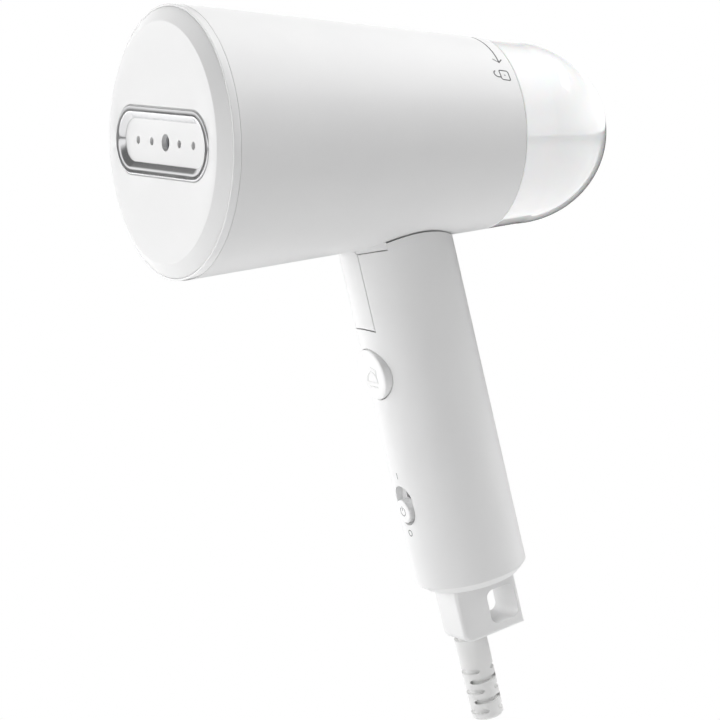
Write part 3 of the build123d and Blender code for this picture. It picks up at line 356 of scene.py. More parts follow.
FINISH["steel"] = brushed_metal(
    "steel", (0.6, 0.6, 0.61), (0.5, 0.5, 0.51), 0.22, 0.36, line=0.2, stretch=0.05, depth=0.01
)
FINISH["bezel_metal"] = brushed_metal(
    "bezel_metal", (0.82, 0.82, 0.83), (0.77, 0.77, 0.78), 0.14, 0.2, line=0.15, stretch=0.02, depth=0.0015
)
print("finishes:", len(FINISH))

# %% [markdown]
# ## Give every node its finish
# The record names a finish slot for each node, so one loop covers them all. The nodes'
# triangles already point the right way. A weld and a smoothing angle, both as modifiers,
# leave the meshes untouched and make the round shells read as round.

# %% Assign the finishes
SLOT_OF = {s["node"]: s["material_slot"] for s in frame["record"]["subparts"]}
SMOOTH_ANGLE = math.radians(30)


def smooth_tree():
    """Geometry tree that welds loose triangles and smooths across shallow angles."""
    made = Tree(
        "weld_and_smooth",
        "GeometryNodeTree",
        [
            ("Geometry", "NodeSocketGeometry", None),
            ("Angle", "NodeSocketFloat", SMOOTH_ANGLE),
            ("Reach", "NodeSocketFloat", 1e-6),
        ],
        [("Geometry", "NodeSocketGeometry")],
    )
    welded = made.add("GeometryNodeMergeByDistance", made.given["Geometry"], None, made.given["Reach"])
    faces = made.add("GeometryNodeSetShadeSmooth", welded.outputs[0], None, True, domain="FACE")
    bend = made.add("GeometryNodeInputMeshEdgeAngle").outputs[0]
    shallow = made.add(
        "FunctionNodeCompare", bend, made.given["Angle"], operation="LESS_THAN", data_type="FLOAT"
    )
    edge = made.add("GeometryNodeSetShadeSmooth", faces.outputs[0], None, shallow.outputs[0], domain="EDGE")
    made.result("Geometry", edge.outputs[0])
    return made.tree


SMOOTHING = smooth_tree()
for name, node in NODES.items():
    node.data.materials.clear()
    node.data.materials.append(FINISH[SLOT_OF[name]])
    modifier = node.modifiers.new("weld_and_smooth", "NODES")
    modifier.node_group = SMOOTHING
print("nodes finished:", len(NODES))

# %% [markdown]
# ## Turned pieces by rule
# The tank, the trim ring, the button and the knob are all turned shapes: one outline
# carried round an axis. A lathe modifier could do it, but Geometry Nodes keep the rule and
# its sizes in view. The outline is a row of points, (along, radius). The tree lays a grid
# with one row for each point and one column for each step round, then moves every grid
# corner to its place. A third number at each point pulls the two halves of the turned shape
# apart, which makes the long slot of the steam outlet from the same rule.


# %% The turning tree
def turning_tree():
    """Geometry tree that carries an outline round the X axis."""
    made = Tree(
        "turned_outline",
        "GeometryNodeTree",
        [
            ("Geometry", "NodeSocketGeometry", None),
            ("Steps Round", "NodeSocketInt", 96),
            ("Half Straight", "NodeSocketFloat", 0.0),
            ("Finish", "NodeSocketMaterial", None),
        ],
        [("Geometry", "NodeSocketGeometry")],
    )
    outline, steps = made.given["Geometry"], made.given["Steps Round"]
    count = made.add("GeometryNodeAttributeDomainSize", outline).outputs["Point Count"]
    columns = made.math("ADD", steps, 1.0)
    grid = made.add("GeometryNodeMeshGrid", 1.0, 1.0, count, columns).outputs["Mesh"]
    index = made.add("GeometryNodeInputIndex").outputs[0]
    row = made.math("FLOOR", made.math("DIVIDE", made.math("ADD", index, 0.5), columns))
    column = made.math("SUBTRACT", index, made.math("MULTIPLY", row, columns))
    place = made.add("GeometryNodeInputPosition").outputs[0]
    sample = made.add(
        "GeometryNodeSampleIndex", outline, place, row, data_type="FLOAT_VECTOR", domain="POINT"
    )
    point = made.add("ShaderNodeSeparateXYZ", sample.outputs[0]).outputs
    angle = made.math("MULTIPLY", made.math("DIVIDE", made.math("ADD", column, 0.5), steps), 2 * math.pi)
    side = made.math("SINE", angle)
    reach = made.math("MULTIPLY", point[2], made.given["Half Straight"])
    pull = made.math("MULTIPLY", reach, made.math("SIGN", side))
    across = made.math("MULTIPLY_ADD", point[1], side, pull)
    upward = made.math("MULTIPLY", point[1], made.math("COSINE", angle))
    corner = made.add("ShaderNodeCombineXYZ", point[0], across, upward).outputs[0]
    moved = made.add("GeometryNodeSetPosition", grid, None, corner)
    closed = made.add("GeometryNodeMergeByDistance", moved.outputs[0], None, 2e-6)
    painted = made.add("GeometryNodeSetMaterial", closed.outputs[0], None, made.given["Finish"])
    made.result("Geometry", made.add("GeometryNodeRealizeInstances", painted.outputs[0]).outputs[0])
    return made.tree


TURNING = turning_tree()
print("turning tree nodes:", len(TURNING.nodes))


# %% From a tree to a plain mesh
def run_tree(tree, mesh, **given):
    """Evaluates a geometry tree on a mesh and returns the result as a plain mesh."""
    carrier = bpy.data.objects.new("carrier", mesh)
    bpy.context.scene.collection.objects.link(carrier)
    modifier = carrier.modifiers.new("tree", "NODES")
    modifier.node_group = tree
    for item in tree.interface.items_tree:
        label = item.name.replace(" ", "_")
        if item.in_out == "INPUT" and label in given:
            modifier[item.identifier] = given[label]
    bpy.context.view_layer.update()
    graph = bpy.context.evaluated_depsgraph_get()
    made = bpy.data.meshes.new_from_object(carrier.evaluated_get(graph), depsgraph=graph)
    carrier.modifiers.remove(modifier)
    bpy.data.objects.remove(carrier)
    return made


def tidy_mesh(mesh, angle=35.0):
    """Closes doubles, points faces outwards and smooths across shallow edges."""
    work = bmesh.new()
    work.from_mesh(mesh)
    bmesh.ops.remove_doubles(work, verts=work.verts, dist=1e-6)
    bmesh.ops.dissolve_degenerate(work, dist=1e-7, edges=work.edges)
    bmesh.ops.recalc_face_normals(work, faces=work.faces)
    for face in work.faces:
        face.smooth = True
    work.to_mesh(mesh)
    work.free()
    mesh.set_sharp_from_angle(angle=math.radians(angle))
    return mesh


def piece(name, mesh, body, slot, stands_for=(), place=None, angle=35.0):
    """A finished piece at the origin: its place goes into its mesh, and it rides on its body."""
    if place is not None:
        mesh.transform(place)
    tidy_mesh(mesh, angle)
    if not mesh.materials:
        mesh.materials.append(FINISH[slot])
    made = bpy.data.objects.new(name, mesh)
    bpy.context.scene.collection.objects.link(made)
    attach(made, body)
    if stands_for:
        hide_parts(*stands_for)
    print(f"{name}: {len(mesh.polygons)} faces")
    return made


# %% Outlines with softened corners
LONGEST_ROUND = 0.45


def softened(points, radius, steps=4, closed=False):
    """Rounds the corners of an outline. Points are (along, radius) or (along, radius, pull)."""
    points = [Vector((*p, 0.0)[:3]) for p in points]
    made = []
    flat = Vector((1, 1, 0))
    last = len(points) - 1
    for i, corner in enumerate(points):
        if not closed and i in (0, last):
            made.append(corner)
            continue
        before = points[i - 1] - corner
        after = points[(i + 1) % len(points)] - corner
        run_in = (before * flat).length
        run_out = (after * flat).length
        reach = min(radius, LONGEST_ROUND * run_in, LONGEST_ROUND * run_out)
        start = corner + before * (reach / max(run_in, 1e-9))
        end = corner + after * (reach / max(run_out, 1e-9))
        for k in range(steps + 1):
            t = k / steps
            made.append(start * (1 - t) ** 2 + corner * 2 * t * (1 - t) + end * t ** 2)
    if closed:
        made.append(made[0].copy())
    return made


def turned(name, points, slot, radius=0.2, closed=False, steps_round=160, half_straight=0.0, steps=4):
    """A turned mesh about X from an outline in millimetres."""
    outline = softened(points, radius, steps, closed)
    mesh = bpy.data.meshes.new(name)
    corners = [(p.x * MM, p.y * MM, p.z) for p in outline]
    mesh.from_pydata(corners, [(i, i + 1) for i in range(len(corners) - 1)], [])
    half = half_straight * MM
    return run_tree(TURNING, mesh, Steps_Round=steps_round, Half_Straight=half, Finish=FINISH[slot])


# %% [markdown]
# ## The front: ring, face plate and steam outlet
# The barrel's mouth is closed by a glossy ring and a flat face plate with a chamfered edge.
# A satin metal frame with sloping walls leads down to the white steam plate. A fine groove
# in the face gives the frame its thin dark outline. The outer sizes are read from the boxes
# of the nodes that these pieces stand for. The steps inside repeat the engineering model's
# own sizes, and have to follow if those change.

# %% Sizes of the front, from the nodes
ring_low, ring_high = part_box("front_ring")
face_low, face_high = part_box("face_plate")
frame_low, frame_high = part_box("steam_bezel")
plate_low, plate_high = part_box("steam_plate")
RING_R = ring_high.z / MM
RING_X = ring_low.x / MM
FACE_X = face_low.x / MM
FLAT_R = 39.1
FRAME_R = frame_high.z / MM
FRAME_HALF = frame_high.y / MM - FRAME_R
FRAME_X = frame_low.x / MM
PLATE_X = plate_low.x / MM
PLATE_R = plate_high.z / MM
print("ring radius", round(RING_R, 2))
print("frame half height", round(FRAME_R, 2), "half straight", round(FRAME_HALF, 2))

# %% Trim ring
RING_LIP = 0.75
RING_SEAT_R = 42.2
RING_STEP_X, RING_STEP_R = -1.3, 39.95
TAIL_X, TAIL_OUTER_R, TAIL_INNER_R = 8.0, 40.325, 38.9
ring_outline = [
    (RING_X, RING_R - RING_LIP), (RING_X, RING_R), (0, RING_R), (0, RING_SEAT_R),
    (TAIL_X, TAIL_OUTER_R), (TAIL_X, TAIL_INNER_R),
    (RING_STEP_X, RING_STEP_R), (RING_STEP_X, RING_R - RING_LIP),
]
ring_mesh = turned("trim_ring", ring_outline, "ring_white", 0.32, closed=True, steps_round=256)
piece("trim_ring", ring_mesh, "barrel", "ring_white", ["front_ring"])

# %% Face plate with its slot-shaped window
WINDOW_R = FRAME_R - 1.0
GROOVE_DEEP = 0.7
GROOVE_R = FRAME_R + 0.32
FIT = 0.05
FACE_EDGE_R = RING_R - RING_LIP - FIT
FACE_BACK_X, FACE_BACK_R = RING_STEP_X - FIT, RING_R - 2.4
FACE_WALL = 2.0
face_outline = [
    (FACE_X + GROOVE_DEEP, WINDOW_R, 1), (FACE_X + GROOVE_DEEP, GROOVE_R, 1), (FACE_X, GROOVE_R, 1),
    (FACE_X, FLAT_R), (RING_X, FACE_EDGE_R), (FACE_BACK_X, FACE_EDGE_R), (FACE_BACK_X, FACE_BACK_R),
    (FACE_X + FACE_WALL, FLAT_R - 0.8), (FACE_X + FACE_WALL, WINDOW_R, 1),
]
face_mesh = turned(
    "face_plate", face_outline, "face_white", 0.25, closed=True, steps_round=256, half_straight=FRAME_HALF
)
piece("chamfered_face", face_mesh, "barrel", "face_white", ["face_plate"])

# %% Metal frame round the outlet
THROAT_R = PLATE_R - 1.15
LIP = 2.2
FRAME_FOOT = FACE_X + GROOVE_DEEP
PLATE_BACK = plate_high.x / MM
frame_outline = [
    (FRAME_FOOT, FRAME_R), (FRAME_X, FRAME_R), (FRAME_X, FRAME_R - LIP), (PLATE_X, THROAT_R),
    (PLATE_X, PLATE_R + FIT), (PLATE_BACK, PLATE_R + FIT),
    (PLATE_BACK, WINDOW_R - FIT), (FRAME_FOOT, WINDOW_R - FIT),
]
frame_outline = [(x, r, 1) for x, r in frame_outline]
frame_mesh = turned(
    "outlet_frame", frame_outline, "bezel_metal", 0.55,
    closed=True, steps_round=224, half_straight=FRAME_HALF, steps=6,
)
piece("outlet_frame", frame_mesh, "barrel", "bezel_metal", ["steam_bezel"])

# %% [markdown]
# ## Steam holes
# Five holes sit in a row, the middle one larger. They repeat, so a tree places one cutter on
# each point of a line, widens the middle one and cuts them all at once.


# %% Holes cut by a tree
def hole_tree():
    """Geometry tree that cuts a row of round holes, the middle one wider."""
    made = Tree(
        "row_of_holes",
        "GeometryNodeTree",
        [
            ("Geometry", "NodeSocketGeometry", None),
            ("Count", "NodeSocketInt", 5),
            ("Pitch", "NodeSocketFloat", 10 * MM),
            ("Hole Radius", "NodeSocketFloat", 1.3 * MM),
            ("Middle Radius", "NodeSocketFloat", 2.8 * MM),
            ("Middle X", "NodeSocketFloat", 0.0),
            ("Finish", "NodeSocketMaterial", None),
        ],
        [("Geometry", "NodeSocketGeometry")],
    )
    count, pitch = made.given["Count"], made.given["Pitch"]
    half = made.math("DIVIDE", made.math("SUBTRACT", count, 1.0), 2.0)
    index = made.add("GeometryNodeInputIndex").outputs[0]
    offset = made.math("SUBTRACT", index, half)
    row = made.add("GeometryNodeMeshLine", count)
    across = made.math("MULTIPLY", offset, pitch)
    place = made.add("ShaderNodeCombineXYZ", made.given["Middle X"], across, 0.0).outputs[0]
    row = made.add("GeometryNodeSetPosition", row.outputs[0], None, place)
    middle = made.math("LESS_THAN", made.math("ABSOLUTE", offset), 0.5)
    wider = made.math("SUBTRACT", made.given["Middle Radius"], made.given["Hole Radius"])
    radius = made.math("MULTIPLY_ADD", middle, wider, made.given["Hole Radius"])
    cutter = made.add("GeometryNodeMeshCylinder", 40, 1, 1, 1.0, 10 * MM).outputs[0]
    turn = made.add("ShaderNodeCombineXYZ", 0.0, math.pi / 2, 0.0).outputs[0]
    scale = made.add("ShaderNodeCombineXYZ", radius, radius, 1.0).outputs[0]
    cutters = made.add("GeometryNodeInstanceOnPoints", row.outputs[0], None, cutter)
    made.tree.links.new(turn, cutters.inputs["Rotation"])
    made.tree.links.new(scale, cutters.inputs["Scale"])
    solid = made.add("GeometryNodeRealizeInstances", cutters.outputs[0]).outputs[0]
    cut = made.add("GeometryNodeMeshBoolean", made.given["Geometry"], solid, operation="DIFFERENCE")
    painted = made.add("GeometryNodeSetMaterial", cut.outputs[0], None, made.given["Finish"])
    made.result("Geometry", made.add("GeometryNodeRealizeInstances", painted.outputs[0]).outputs[0])
    return made.tree


plate_outline = [(PLATE_X, 0, 1), (PLATE_X, PLATE_R, 1), (PLATE_BACK, PLATE_R, 1), (PLATE_BACK, 0, 1)]
plate_mesh = turned(
    "steam_plate", plate_outline, "face_white", 0.15, steps_round=96, half_straight=FRAME_HALF
)
tidy_mesh(plate_mesh)
plate_middle = (PLATE_X + PLATE_BACK) / 2 * MM
plate_mesh = run_tree(hole_tree(), plate_mesh, Middle_X=plate_middle, Finish=FINISH["face_white"])
piece("holed_plate", plate_mesh, "barrel", "face_white", ["steam_plate"], angle=30)

# %% [markdown]
# ## The water tank
# The tank carries on the barrel's taper, then closes with a smooth dome. It is the
# glossiest surface, and any facet would show in its reflections, so it is turned from a
# finely divided outline in place of the node's triangles. Its wall, spigot and seal groove
# keep the node's places.

# %% Turn the tank
tank_low, tank_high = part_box("tank_shell")
BARREL_MOUTH_R, BARREL_END_R, BARREL_LONG = 44.5, 32.3, 111.6
TAPER = (BARREL_MOUTH_R - BARREL_END_R) / BARREL_LONG
TANK_START = 111.95
TANK_EDGE = 0.25
DOME_X = 124.7
DOME_LONG = tank_high.x / MM - DOME_X
DOME_STEPS = 48
STRAIGHT_STEPS = 12
WALL = 2.0
SPIGOT_X = tank_low.x / MM
SPIGOT_R = 29.6
SEAL_FROM, SEAL_TO, SEAL_DEEP = SPIGOT_X + 3, SPIGOT_X + 4.9, 0.9


def cone_r(x):
    """Radius of the barrel's taper, which the tank carries on."""
    return BARREL_MOUTH_R - TAPER * x


def dome(length, radius, steps):
    """Quarter ellipse from the rim to the pole."""
    turns = [math.pi / 2 * k / steps for k in range(steps + 1)]
    return [(DOME_X + length * math.sin(a), max(radius * math.cos(a), 0.0)) for a in turns]


DOME_R = cone_r(DOME_X)
EDGE_X = TANK_START + TANK_EDGE
rim = [(TANK_START, cone_r(TANK_START) - TANK_EDGE), (EDGE_X, cone_r(EDGE_X))]
straight_x = [EDGE_X + (DOME_X - EDGE_X) * k / STRAIGHT_STEPS for k in range(1, STRAIGHT_STEPS)]
straight = [(x, cone_r(x)) for x in straight_x]
inner = list(reversed(dome(DOME_LONG - WALL, DOME_R - WALL, DOME_STEPS)))
groove = [
    (TANK_START + WALL, SPIGOT_R - WALL), (SPIGOT_X, SPIGOT_R - WALL), (SPIGOT_X, SPIGOT_R),
    (SEAL_FROM, SPIGOT_R), (SEAL_FROM, SPIGOT_R - SEAL_DEEP), (SEAL_TO, SPIGOT_R - SEAL_DEEP),
    (SEAL_TO, SPIGOT_R), (TANK_START, SPIGOT_R), rim[0],
]
tank_outline = rim + straight + dome(DOME_LONG, DOME_R, DOME_STEPS) + inner + groove
tank_mesh = turned("water_tank", tank_outline, "tank_plastic", 0.0, steps_round=192, steps=1)
piece("water_tank", tank_mesh, "tank", "tank_plastic", ["tank_shell"], angle=40)

# %% [markdown]
# ## The two controls
# The steam trigger is a round disc that stands out of the handle. The power knob slides in
# a slot-shaped pocket. Both are turned, with generous soft edges, and then placed by the
# handle's matrix. The turned axis X is the handle's forward direction already.

# %% Trigger
BUTTON_DOWN = 37.65
BUTTON_R = 8.75
BUTTON_FACE = 20.0
BUTTON_EDGE = 1.2
PLUNGER_BACK, PLUNGER_R = 8.4, 1.6
FLANGE_BACK, FLANGE_FRONT = 12.33, 13.53
FLANGE_R = BUTTON_R + 1.4
button_outline = [
    (PLUNGER_BACK, 0), (PLUNGER_BACK, PLUNGER_R), (FLANGE_BACK, PLUNGER_R), (FLANGE_BACK, FLANGE_R),
    (FLANGE_FRONT, FLANGE_R), (FLANGE_FRONT, BUTTON_R), (BUTTON_FACE - 0.2, BUTTON_R),
    (BUTTON_FACE, BUTTON_R - BUTTON_EDGE), (BUTTON_FACE - 0.1, 5.0), (BUTTON_FACE - 0.15, 0),
]
trigger_mesh = turned("steam_trigger", button_outline, "control_white", 0.6, steps_round=128, steps=6)
AT_BUTTON = HANDLE @ Matrix.Translation((0, 0, BUTTON_DOWN * MM))
piece("steam_trigger", trigger_mesh, "button", "control_white", ["steam_button"], place=AT_BUTTON)

# %% Power knob
SLIDER_DOWN = 86.2
KNOB_R = 4.1
KNOB_FACE = 20.1
KNOB_BACK = 16.5
KNOB_EDGE = 0.9
STEM_X = 13.5
STEM_LONG, STEM_WIDE, STEM_HIGH = 5.9, 3.4, 4.4
knob_outline = [
    (KNOB_BACK, 0), (KNOB_BACK, KNOB_R), (KNOB_FACE - 0.1, KNOB_R),
    (KNOB_FACE, KNOB_R - KNOB_EDGE), (KNOB_FACE - 0.05, 0),
]
knob_mesh = turned("power_knob", knob_outline, "control_white", 0.55, steps_round=96, steps=6)
stem = bmesh.new()
stem.from_mesh(knob_mesh)
stem_size = Matrix.Diagonal((STEM_LONG * MM, STEM_WIDE * MM, STEM_HIGH * MM, 1))
bmesh.ops.create_cube(stem, size=1.0, matrix=Matrix.Translation((STEM_X * MM, 0, 0)) @ stem_size)
stem.to_mesh(knob_mesh)
stem.free()
AT_KNOB = HANDLE @ Matrix.Translation((0, 0, SLIDER_DOWN * MM))
piece("power_knob", knob_mesh, "slider", "control_white", ["power_slider"], place=AT_KNOB)

# %% [markdown]
# ## Printed and raised marks
# A curved arrow and an open padlock on the barrel show which way the tank turns. The
# trigger has a small steam-iron mark, the knob a power sign, and I and O stand above and
# below it. They could be painted with an image, but the lines are few, so each is a real
# thin stroke: a flat bead swept along its line. The barrel's marks are drawn flat first and
# then wrapped on the cone by the tree, which follows the surface exactly.


# %% The stroke tree
def stroke_tree():
    """Geometry tree that sweeps a flat bead along lines and can wrap them on the cone."""
    made = Tree(
        "wrapped_strokes",
        "GeometryNodeTree",
        [
            ("Geometry", "NodeSocketGeometry", None),
            ("Line Width", "NodeSocketFloat", 0.4 * MM),
            ("Line Height", "NodeSocketFloat", 0.05 * MM),
            ("Cone Radius", "NodeSocketFloat", 0.0),
            ("Cone Taper", "NodeSocketFloat", 0.0),
            ("Wrap", "NodeSocketFloat", 0.0),
            ("Finish", "NodeSocketMaterial", None),
        ],
        [("Geometry", "NodeSocketGeometry")],
    )
    lines = made.add("GeometryNodeMeshToCurve", made.given["Geometry"]).outputs[0]
    lines = made.add("GeometryNodeSetCurveNormal", lines, mode="Z_UP").outputs[0]
    section = made.add("GeometryNodeCurvePrimitiveQuadrilateral")
    made.tree.links.new(made.given["Line Width"], section.inputs["Width"])
    made.tree.links.new(made.given["Line Height"], section.inputs["Height"])
    bead = made.add("GeometryNodeCurveToMesh", lines, section.outputs[0])
    caps = next(s for s in bead.inputs if s.name == "Fill Caps")
    caps.default_value = True
    flat = made.add("ShaderNodeSeparateXYZ", made.add("GeometryNodeInputPosition").outputs[0]).outputs
    narrowed = made.math("MULTIPLY", flat[0], made.given["Cone Taper"])
    radius = made.math("SUBTRACT", made.given["Cone Radius"], narrowed)
    angle = made.math("DIVIDE", flat[1], made.math("MAXIMUM", radius, 1e-4))
    lifted = made.math("ADD", radius, flat[2])
    round_y = made.math("MULTIPLY", made.math("MULTIPLY", lifted, made.math("SINE", angle)), -1.0)
    round_z = made.math("MULTIPLY", lifted, made.math("COSINE", angle))
    wrapped = made.add("ShaderNodeCombineXYZ", flat[0], round_y, round_z).outputs[0]
    keep = made.add("ShaderNodeCombineXYZ", flat[0], flat[1], flat[2]).outputs[0]
    chosen = made.add("ShaderNodeMix", made.given["Wrap"], data_type="VECTOR")
    made.tree.links.new(keep, chosen.inputs[4])
    made.tree.links.new(wrapped, chosen.inputs[5])
    moved = made.add("GeometryNodeSetPosition", bead.outputs[0], None, chosen.outputs[1])
    painted = made.add("GeometryNodeSetMaterial", moved.outputs[0], None, made.given["Finish"])
    made.result("Geometry", made.add("GeometryNodeRealizeInstances", painted.outputs[0]).outputs[0])
    return made.tree


STROKES = stroke_tree()


def strokes(lines, slot, width=0.4, height=0.06, wrap=0.0):
    """Beads along flat lines given in millimetres, wrapped on the barrel's cone if asked."""
    mesh = bpy.data.meshes.new("strokes")
    points, links = [], []
    for line in lines:
        start = len(points)
        points += [(x * MM, y * MM, 0.0) for x, y in line]
        links += [(start + i, start + i + 1) for i in range(len(line) - 1)]
    mesh.from_pydata(points, links, [])
    return run_tree(
        STROKES, mesh, Line_Width=width * MM, Line_Height=height * MM,
        Cone_Radius=BARREL_MOUTH_R * MM, Cone_Taper=TAPER, Wrap=wrap, Finish=FINISH[slot],
    )


def arc(cx, cy, radius, start, end, steps=16):
    """Points of a circular arc, in degrees."""
    turns = [math.radians(start + (end - start) * k / steps) for k in range(steps + 1)]
    return [(cx + radius * math.cos(a), cy + radius * math.sin(a)) for a in turns]


# %% Turn-to-lock marks on the barrel
def on_cone(x, degrees):
    """Flat place of a point at an angle from the barrel's top, measured as arc length."""
    return x, math.radians(degrees) * cone_r(x)


def bezier(points, steps=24):
    """Quadratic curve from the first point to the last, pulled towards the middle one."""
    a, b, c = points

    def at(t):
        return tuple(a[i] * (1 - t) ** 2 + b[i] * 2 * t * (1 - t) + c[i] * t ** 2 for i in (0, 1))

    return [at(k / steps) for k in range(steps + 1)]


arrow_tip = on_cone(107.3, 41.6)
arrow = bezier([on_cone(106.9, 8.6), on_cone(107.9, 25.0), arrow_tip])
barbs = [(arrow_tip[0] - 1.9, arrow_tip[1] - 1.5), arrow_tip, (arrow_tip[0] + 1.6, arrow_tip[1] - 1.7)]
lock_x, lock_y = on_cone(106.3, 51.2)
LOCK_HALF, LOCK_CORNER = 1.9, 0.4
LOCK_LEFT, LOCK_RIGHT = -0.8, 2.6
lock_body = [
    (LOCK_LEFT + LOCK_CORNER, -LOCK_HALF), (LOCK_RIGHT - LOCK_CORNER, -LOCK_HALF),
    (LOCK_RIGHT, LOCK_CORNER - LOCK_HALF), (LOCK_RIGHT, LOCK_HALF - LOCK_CORNER),
    (LOCK_RIGHT - LOCK_CORNER, LOCK_HALF), (LOCK_LEFT + LOCK_CORNER, LOCK_HALF),
    (LOCK_LEFT, LOCK_HALF - LOCK_CORNER), (LOCK_LEFT, LOCK_CORNER - LOCK_HALF),
    (LOCK_LEFT + LOCK_CORNER, -LOCK_HALF),
]
lock_body = [(lock_x + x, lock_y + y) for x, y in lock_body]
shackle = [(lock_x + LOCK_LEFT, lock_y + 1.0), *arc(lock_x - 1.9, lock_y - 0.2, 1.25, 90, 250, 12)]
keyhole = [(lock_x + 0.75, lock_y), (lock_x + 1.15, lock_y)]
barrel_marks = strokes([arrow, barbs, lock_body, shackle, keyhole], "print_grey", 0.42, 0.06, wrap=1.0)
piece("turn_to_lock_marks", barrel_marks, "barrel", "print_grey")


# %% Marks on the controls
def facing_front(down, forward):
    """Matrix that stands a flat drawing, X across and Y down, on the handle's front."""
    turn = Matrix(((0, 0, 1), (-1, 0, 0), (0, 1, 0))).to_4x4()
    return HANDLE @ Matrix.Translation((forward * MM, 0, down * MM)) @ turn


iron = [
    [(-3.6, 2.6), (3.4, 2.6), (3.0, 0.6), (1.8, -0.8), (-0.6, -1.2), (-2.6, 0.2), (-3.6, 2.6)],
    [(3.0, 0.6), (3.4, -2.0), (0.4, -2.6), (-1.2, -2.2)],
]
puffs = [arc(x, 3.9, 0.45, 0, 180, 6) for x in (-2.2, 0.0, 2.2)]
trigger_mark = strokes(iron + puffs, "control_white", 0.5, 0.24)
on_trigger = facing_front(BUTTON_DOWN, BUTTON_FACE - 0.08)
piece("trigger_mark", trigger_mark, "button", "control_white", place=on_trigger)
power = [arc(0, 0, 1.5, -60, 240, 20), [(0, -1.9), (0, -0.3)]]
power_mark = strokes(power, "print_grey", 0.24, 0.06)
on_knob = facing_front(SLIDER_DOWN, KNOB_FACE - 0.03)
piece("power_mark", power_mark, "slider", "print_grey", place=on_knob)

# %% I and O beside the knob, printed on the round handle
HANDLE_R = 19.2
ON_DOWN, OFF_DOWN = 73.8, 94.2
on_mark = [[(0, -1.1), (0, 1.1)]]
off_mark = [arc(0, 0, 1.05, 0, 360, 24)]
for label, lines, down in (("on_mark", on_mark, ON_DOWN), ("off_mark", off_mark, OFF_DOWN)):
    mesh = strokes(lines, "print_grey", 0.3, 0.06)
    for v in mesh.vertices:
        v.co.z += math.sqrt((HANDLE_R * MM) ** 2 - v.co.x ** 2) - HANDLE_R * MM
    piece(label, mesh, "handle", "print_grey", place=facing_front(down, HANDLE_R))

# %% [markdown]
# ## Camera, floor and light
# The steamer is seen from its front left and slightly above, through a long lens. A white
# floor and a white room give clean edges, and broad soft lights from the left, from above
# and from behind shape the white shells. The camera's direction, distance and target were
# worked out by a separate fitting program, so they are not round numbers.


# %% Camera
def direction(azimuth, elevation):
    """Unit vector to a compass direction: 0 is the near side, 90 the tank's side."""
    turn, rise = math.radians(azimuth), math.radians(elevation)
    return Vector((math.sin(turn) * math.cos(rise), -math.cos(turn) * math.cos(rise), math.sin(rise)))


AZIMUTH, ELEVATION, DISTANCE = -29.14, 6.51, 1.231
TARGET = Vector((66.93 * MM, 0, -74.16 * MM))
LENS, SENSOR = 185.0, 36.0
back = direction(AZIMUTH, ELEVATION)
camera = bpy.data.objects.new("camera", bpy.data.cameras.new("camera"))
bpy.context.scene.collection.objects.link(camera)
camera.location = TARGET + back * DISTANCE
camera.rotation_euler = (-back).to_track_quat("-Z", "Y").to_euler()
camera.data.lens = LENS
camera.data.sensor_width = SENSOR
camera.data.clip_start, camera.data.clip_end = 0.05, 50.0
bpy.context.scene.camera = camera
print("camera at", [round(c, 3) for c in camera.location])

# %% Floor
FLOOR_GAP = 25 * MM
floor_mesh = bpy.data.meshes.new("floor")
FLOOR_HALF = 6.0
level = cad_low.z - FLOOR_GAP
floor_corners = [(FLOOR_HALF * x, FLOOR_HALF * y, level) for x, y in ((-1, -1), (1, -1), (1, 1), (-1, 1))]
floor_mesh.from_pydata(floor_corners, [], [(0, 1, 2, 3)])
floor = bpy.data.objects.new("floor", floor_mesh)
bpy.context.scene.collection.objects.link(floor)


# %% [markdown]
# ## What the lens sees and what the gloss sees
# The lens should see a clean white room. The glossy tank and the metal frame should see a
# real studio instead: bright up to just over the horizon and dim overhead, so that their
# shapes show.
# A Light Path node tells the two apart, in the floor's finish and in the room.

# %% Pale floor
floor_finish = bpy.data.materials.new("pale_floor")
floor_finish.use_nodes = True
floor_tree = floor_finish.node_tree
floor_shader = floor_tree.nodes["Principled BSDF"]
floor_shader.inputs["Base Color"].default_value = (0.8, 0.8, 0.8, 1)
floor_shader.inputs["Roughness"].default_value = 0.9
floor_view = add_node(floor_tree, "ShaderNodeLightPath").outputs["Is Camera Ray"]
floor_white = add_node(floor_tree, "ShaderNodeEmission", (1, 1, 1, 1), 1.0).outputs[0]
floor_mix = add_node(floor_tree, "ShaderNodeMixShader", floor_view, floor_shader.outputs[0], floor_white)
floor_tree.links.new(floor_mix.outputs[0], floor_tree.nodes["Material Output"].inputs["Surface"])
floor_mesh.materials.append(floor_finish)

# %% White room
ROOM_AMBIENT = 0.0
ROOM_MIRRORED = 1.0
SKY_STOPS = ((0.0, 1.0), (0.2, 1.0), (0.42, 0.16), (0.85, 0.16), (1.0, 0.5))
room = bpy.data.worlds.new("white_room")
bpy.context.scene.world = room
room.use_nodes = True
room_tree = room.node_tree
ambient = room_tree.nodes["Background"]
ambient.inputs[0].default_value = (1, 1, 1, 1)
ambient.inputs[1].default_value = ROOM_AMBIENT
heading = add_node(room_tree, "ShaderNodeTexCoord").outputs["Generated"]
upward = add_node(room_tree, "ShaderNodeSeparateXYZ", heading).outputs[2]
sky = add_node(room_tree, "ShaderNodeValToRGB", upward)
while len(sky.color_ramp.elements) < len(SKY_STOPS):
    sky.color_ramp.elements.new(0.5)
for stop, (place, value) in zip(sky.color_ramp.elements, SKY_STOPS):
    stop.position = place
    stop.color = (value, value, value, 1)
mirrored = add_node(room_tree, "ShaderNodeBackground", sky.outputs[0], ROOM_MIRRORED)
plain_white = add_node(room_tree, "ShaderNodeBackground", (1, 1, 1, 1), 1.0)
rays = add_node(room_tree, "ShaderNodeLightPath").outputs
lit, shown, white = ambient.outputs[0], mirrored.outputs[0], plain_white.outputs[0]
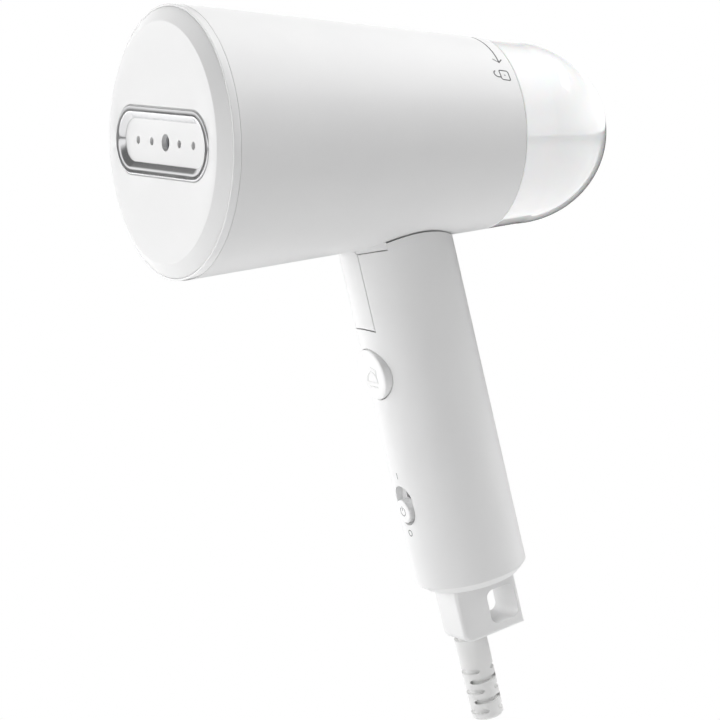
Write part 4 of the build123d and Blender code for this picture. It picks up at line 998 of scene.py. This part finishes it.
gloss = add_node(room_tree, "ShaderNodeMixShader", rays["Is Glossy Ray"], lit, shown)
seen = add_node(room_tree, "ShaderNodeMixShader", rays["Is Camera Ray"], gloss.outputs[0], white)
room_tree.links.new(seen.outputs[0], room_tree.nodes["World Output"].inputs["Surface"])
bpy.context.scene.view_settings.view_transform = "Standard"


# %% [markdown]
# ## Soft lights
# Each light is a broad panel, placed by its compass direction round the steamer and its
# height in degrees. Most of them only shade, because their square outlines would
# crowd the glossy tank. One long strip is kept in its gloss, as in a studio. The panels'
# places and watts in the table were not set by hand. A separate least squares program
# worked them out. They were then rounded, and three were lowered a little. A rig that is
# set by hand would be easier to read and to change.

# %% Light panels
CENTRE = Vector((0.07, 0, -0.04))
LIGHT_DISTANCE = 1.5


def light_panel(name, azimuth, elevation, watts, width=0.8, height=0.8, in_gloss=False):
    """A rectangular light panel that faces the middle of the steamer."""
    light = bpy.data.lights.new(name, "AREA")
    light.shape = "RECTANGLE"
    light.size, light.size_y, light.energy = width, height, watts
    made = bpy.data.objects.new(name, light)
    bpy.context.scene.collection.objects.link(made)
    away = direction(azimuth, elevation)
    made.location = CENTRE + away * LIGHT_DISTANCE
    made.rotation_euler = (-away).to_track_quat("-Z", "Y").to_euler()
    made.visible_glossy = in_gloss
    return made


# name: direction and height in degrees, power in watts
PANELS = {
    "over_right": (90, 70, 20.0),
    "near_right": (60, 40, 8.0),
    "right": (90, 40, 2.1),
    "near_left": (-60, 10, 5.3),
    "left": (-90, 10, 2.6),
    "left_high": (-90, 40, 1.6),
    "left_behind": (-120, 10, 3.8),
    "far_left": (-150, 10, 9.8),
    "behind": (-180, 10, 10.5),
}
for name, (azimuth, elevation, watts) in PANELS.items():
    light_panel(name, azimuth, elevation, watts)
light_panel("gloss_strip", azimuth=96, elevation=41.5, watts=1.4, width=1.0, height=0.18, in_gloss=True)
print("light panels:", len(PANELS) + 1)

# %% [markdown]
# ## A dark card for the glass-like rim
# Clear and milky shells are lit in studios with a dark card beside them, which draws a
# crisp dark line along their edge. A half disc stands behind the tank, level with it, and
# only the gloss sees it.

# %% Dark card
CARD_BEHIND = 0.25
CARD_R = 0.215
CARD_TOP = -0.016
CARD_STEPS = 32
look = Vector((-back.x, -back.y, 0)).normalized()
card_middle = Vector((0.135, -0.02, CARD_TOP)) + look * CARD_BEHIND
card_side = Vector((look.y, -look.x, 0))
card_down = Vector((0, 0, -1))
card_turns = [math.pi * k / CARD_STEPS for k in range(CARD_STEPS + 1)]
card_mesh = bpy.data.meshes.new("dark_card")
card_corners = [
    card_middle + card_side * CARD_R * math.cos(a) + card_down * CARD_R * math.sin(a) for a in card_turns
]
card_mesh.from_pydata(card_corners, [], [range(len(card_corners))])
card = bpy.data.objects.new("dark_card", card_mesh)
bpy.context.scene.collection.objects.link(card)
card_finish = bpy.data.materials.new("black_card")
card_finish.use_nodes = True
card_shader = card_finish.node_tree.nodes["Principled BSDF"]
card_shader.inputs["Base Color"].default_value = (0.02, 0.02, 0.02, 1)
card_shader.inputs["Roughness"].default_value = 1.0
card_mesh.materials.append(card_finish)
card.visible_camera = card.visible_diffuse = card.visible_shadow = card.visible_transmission = False
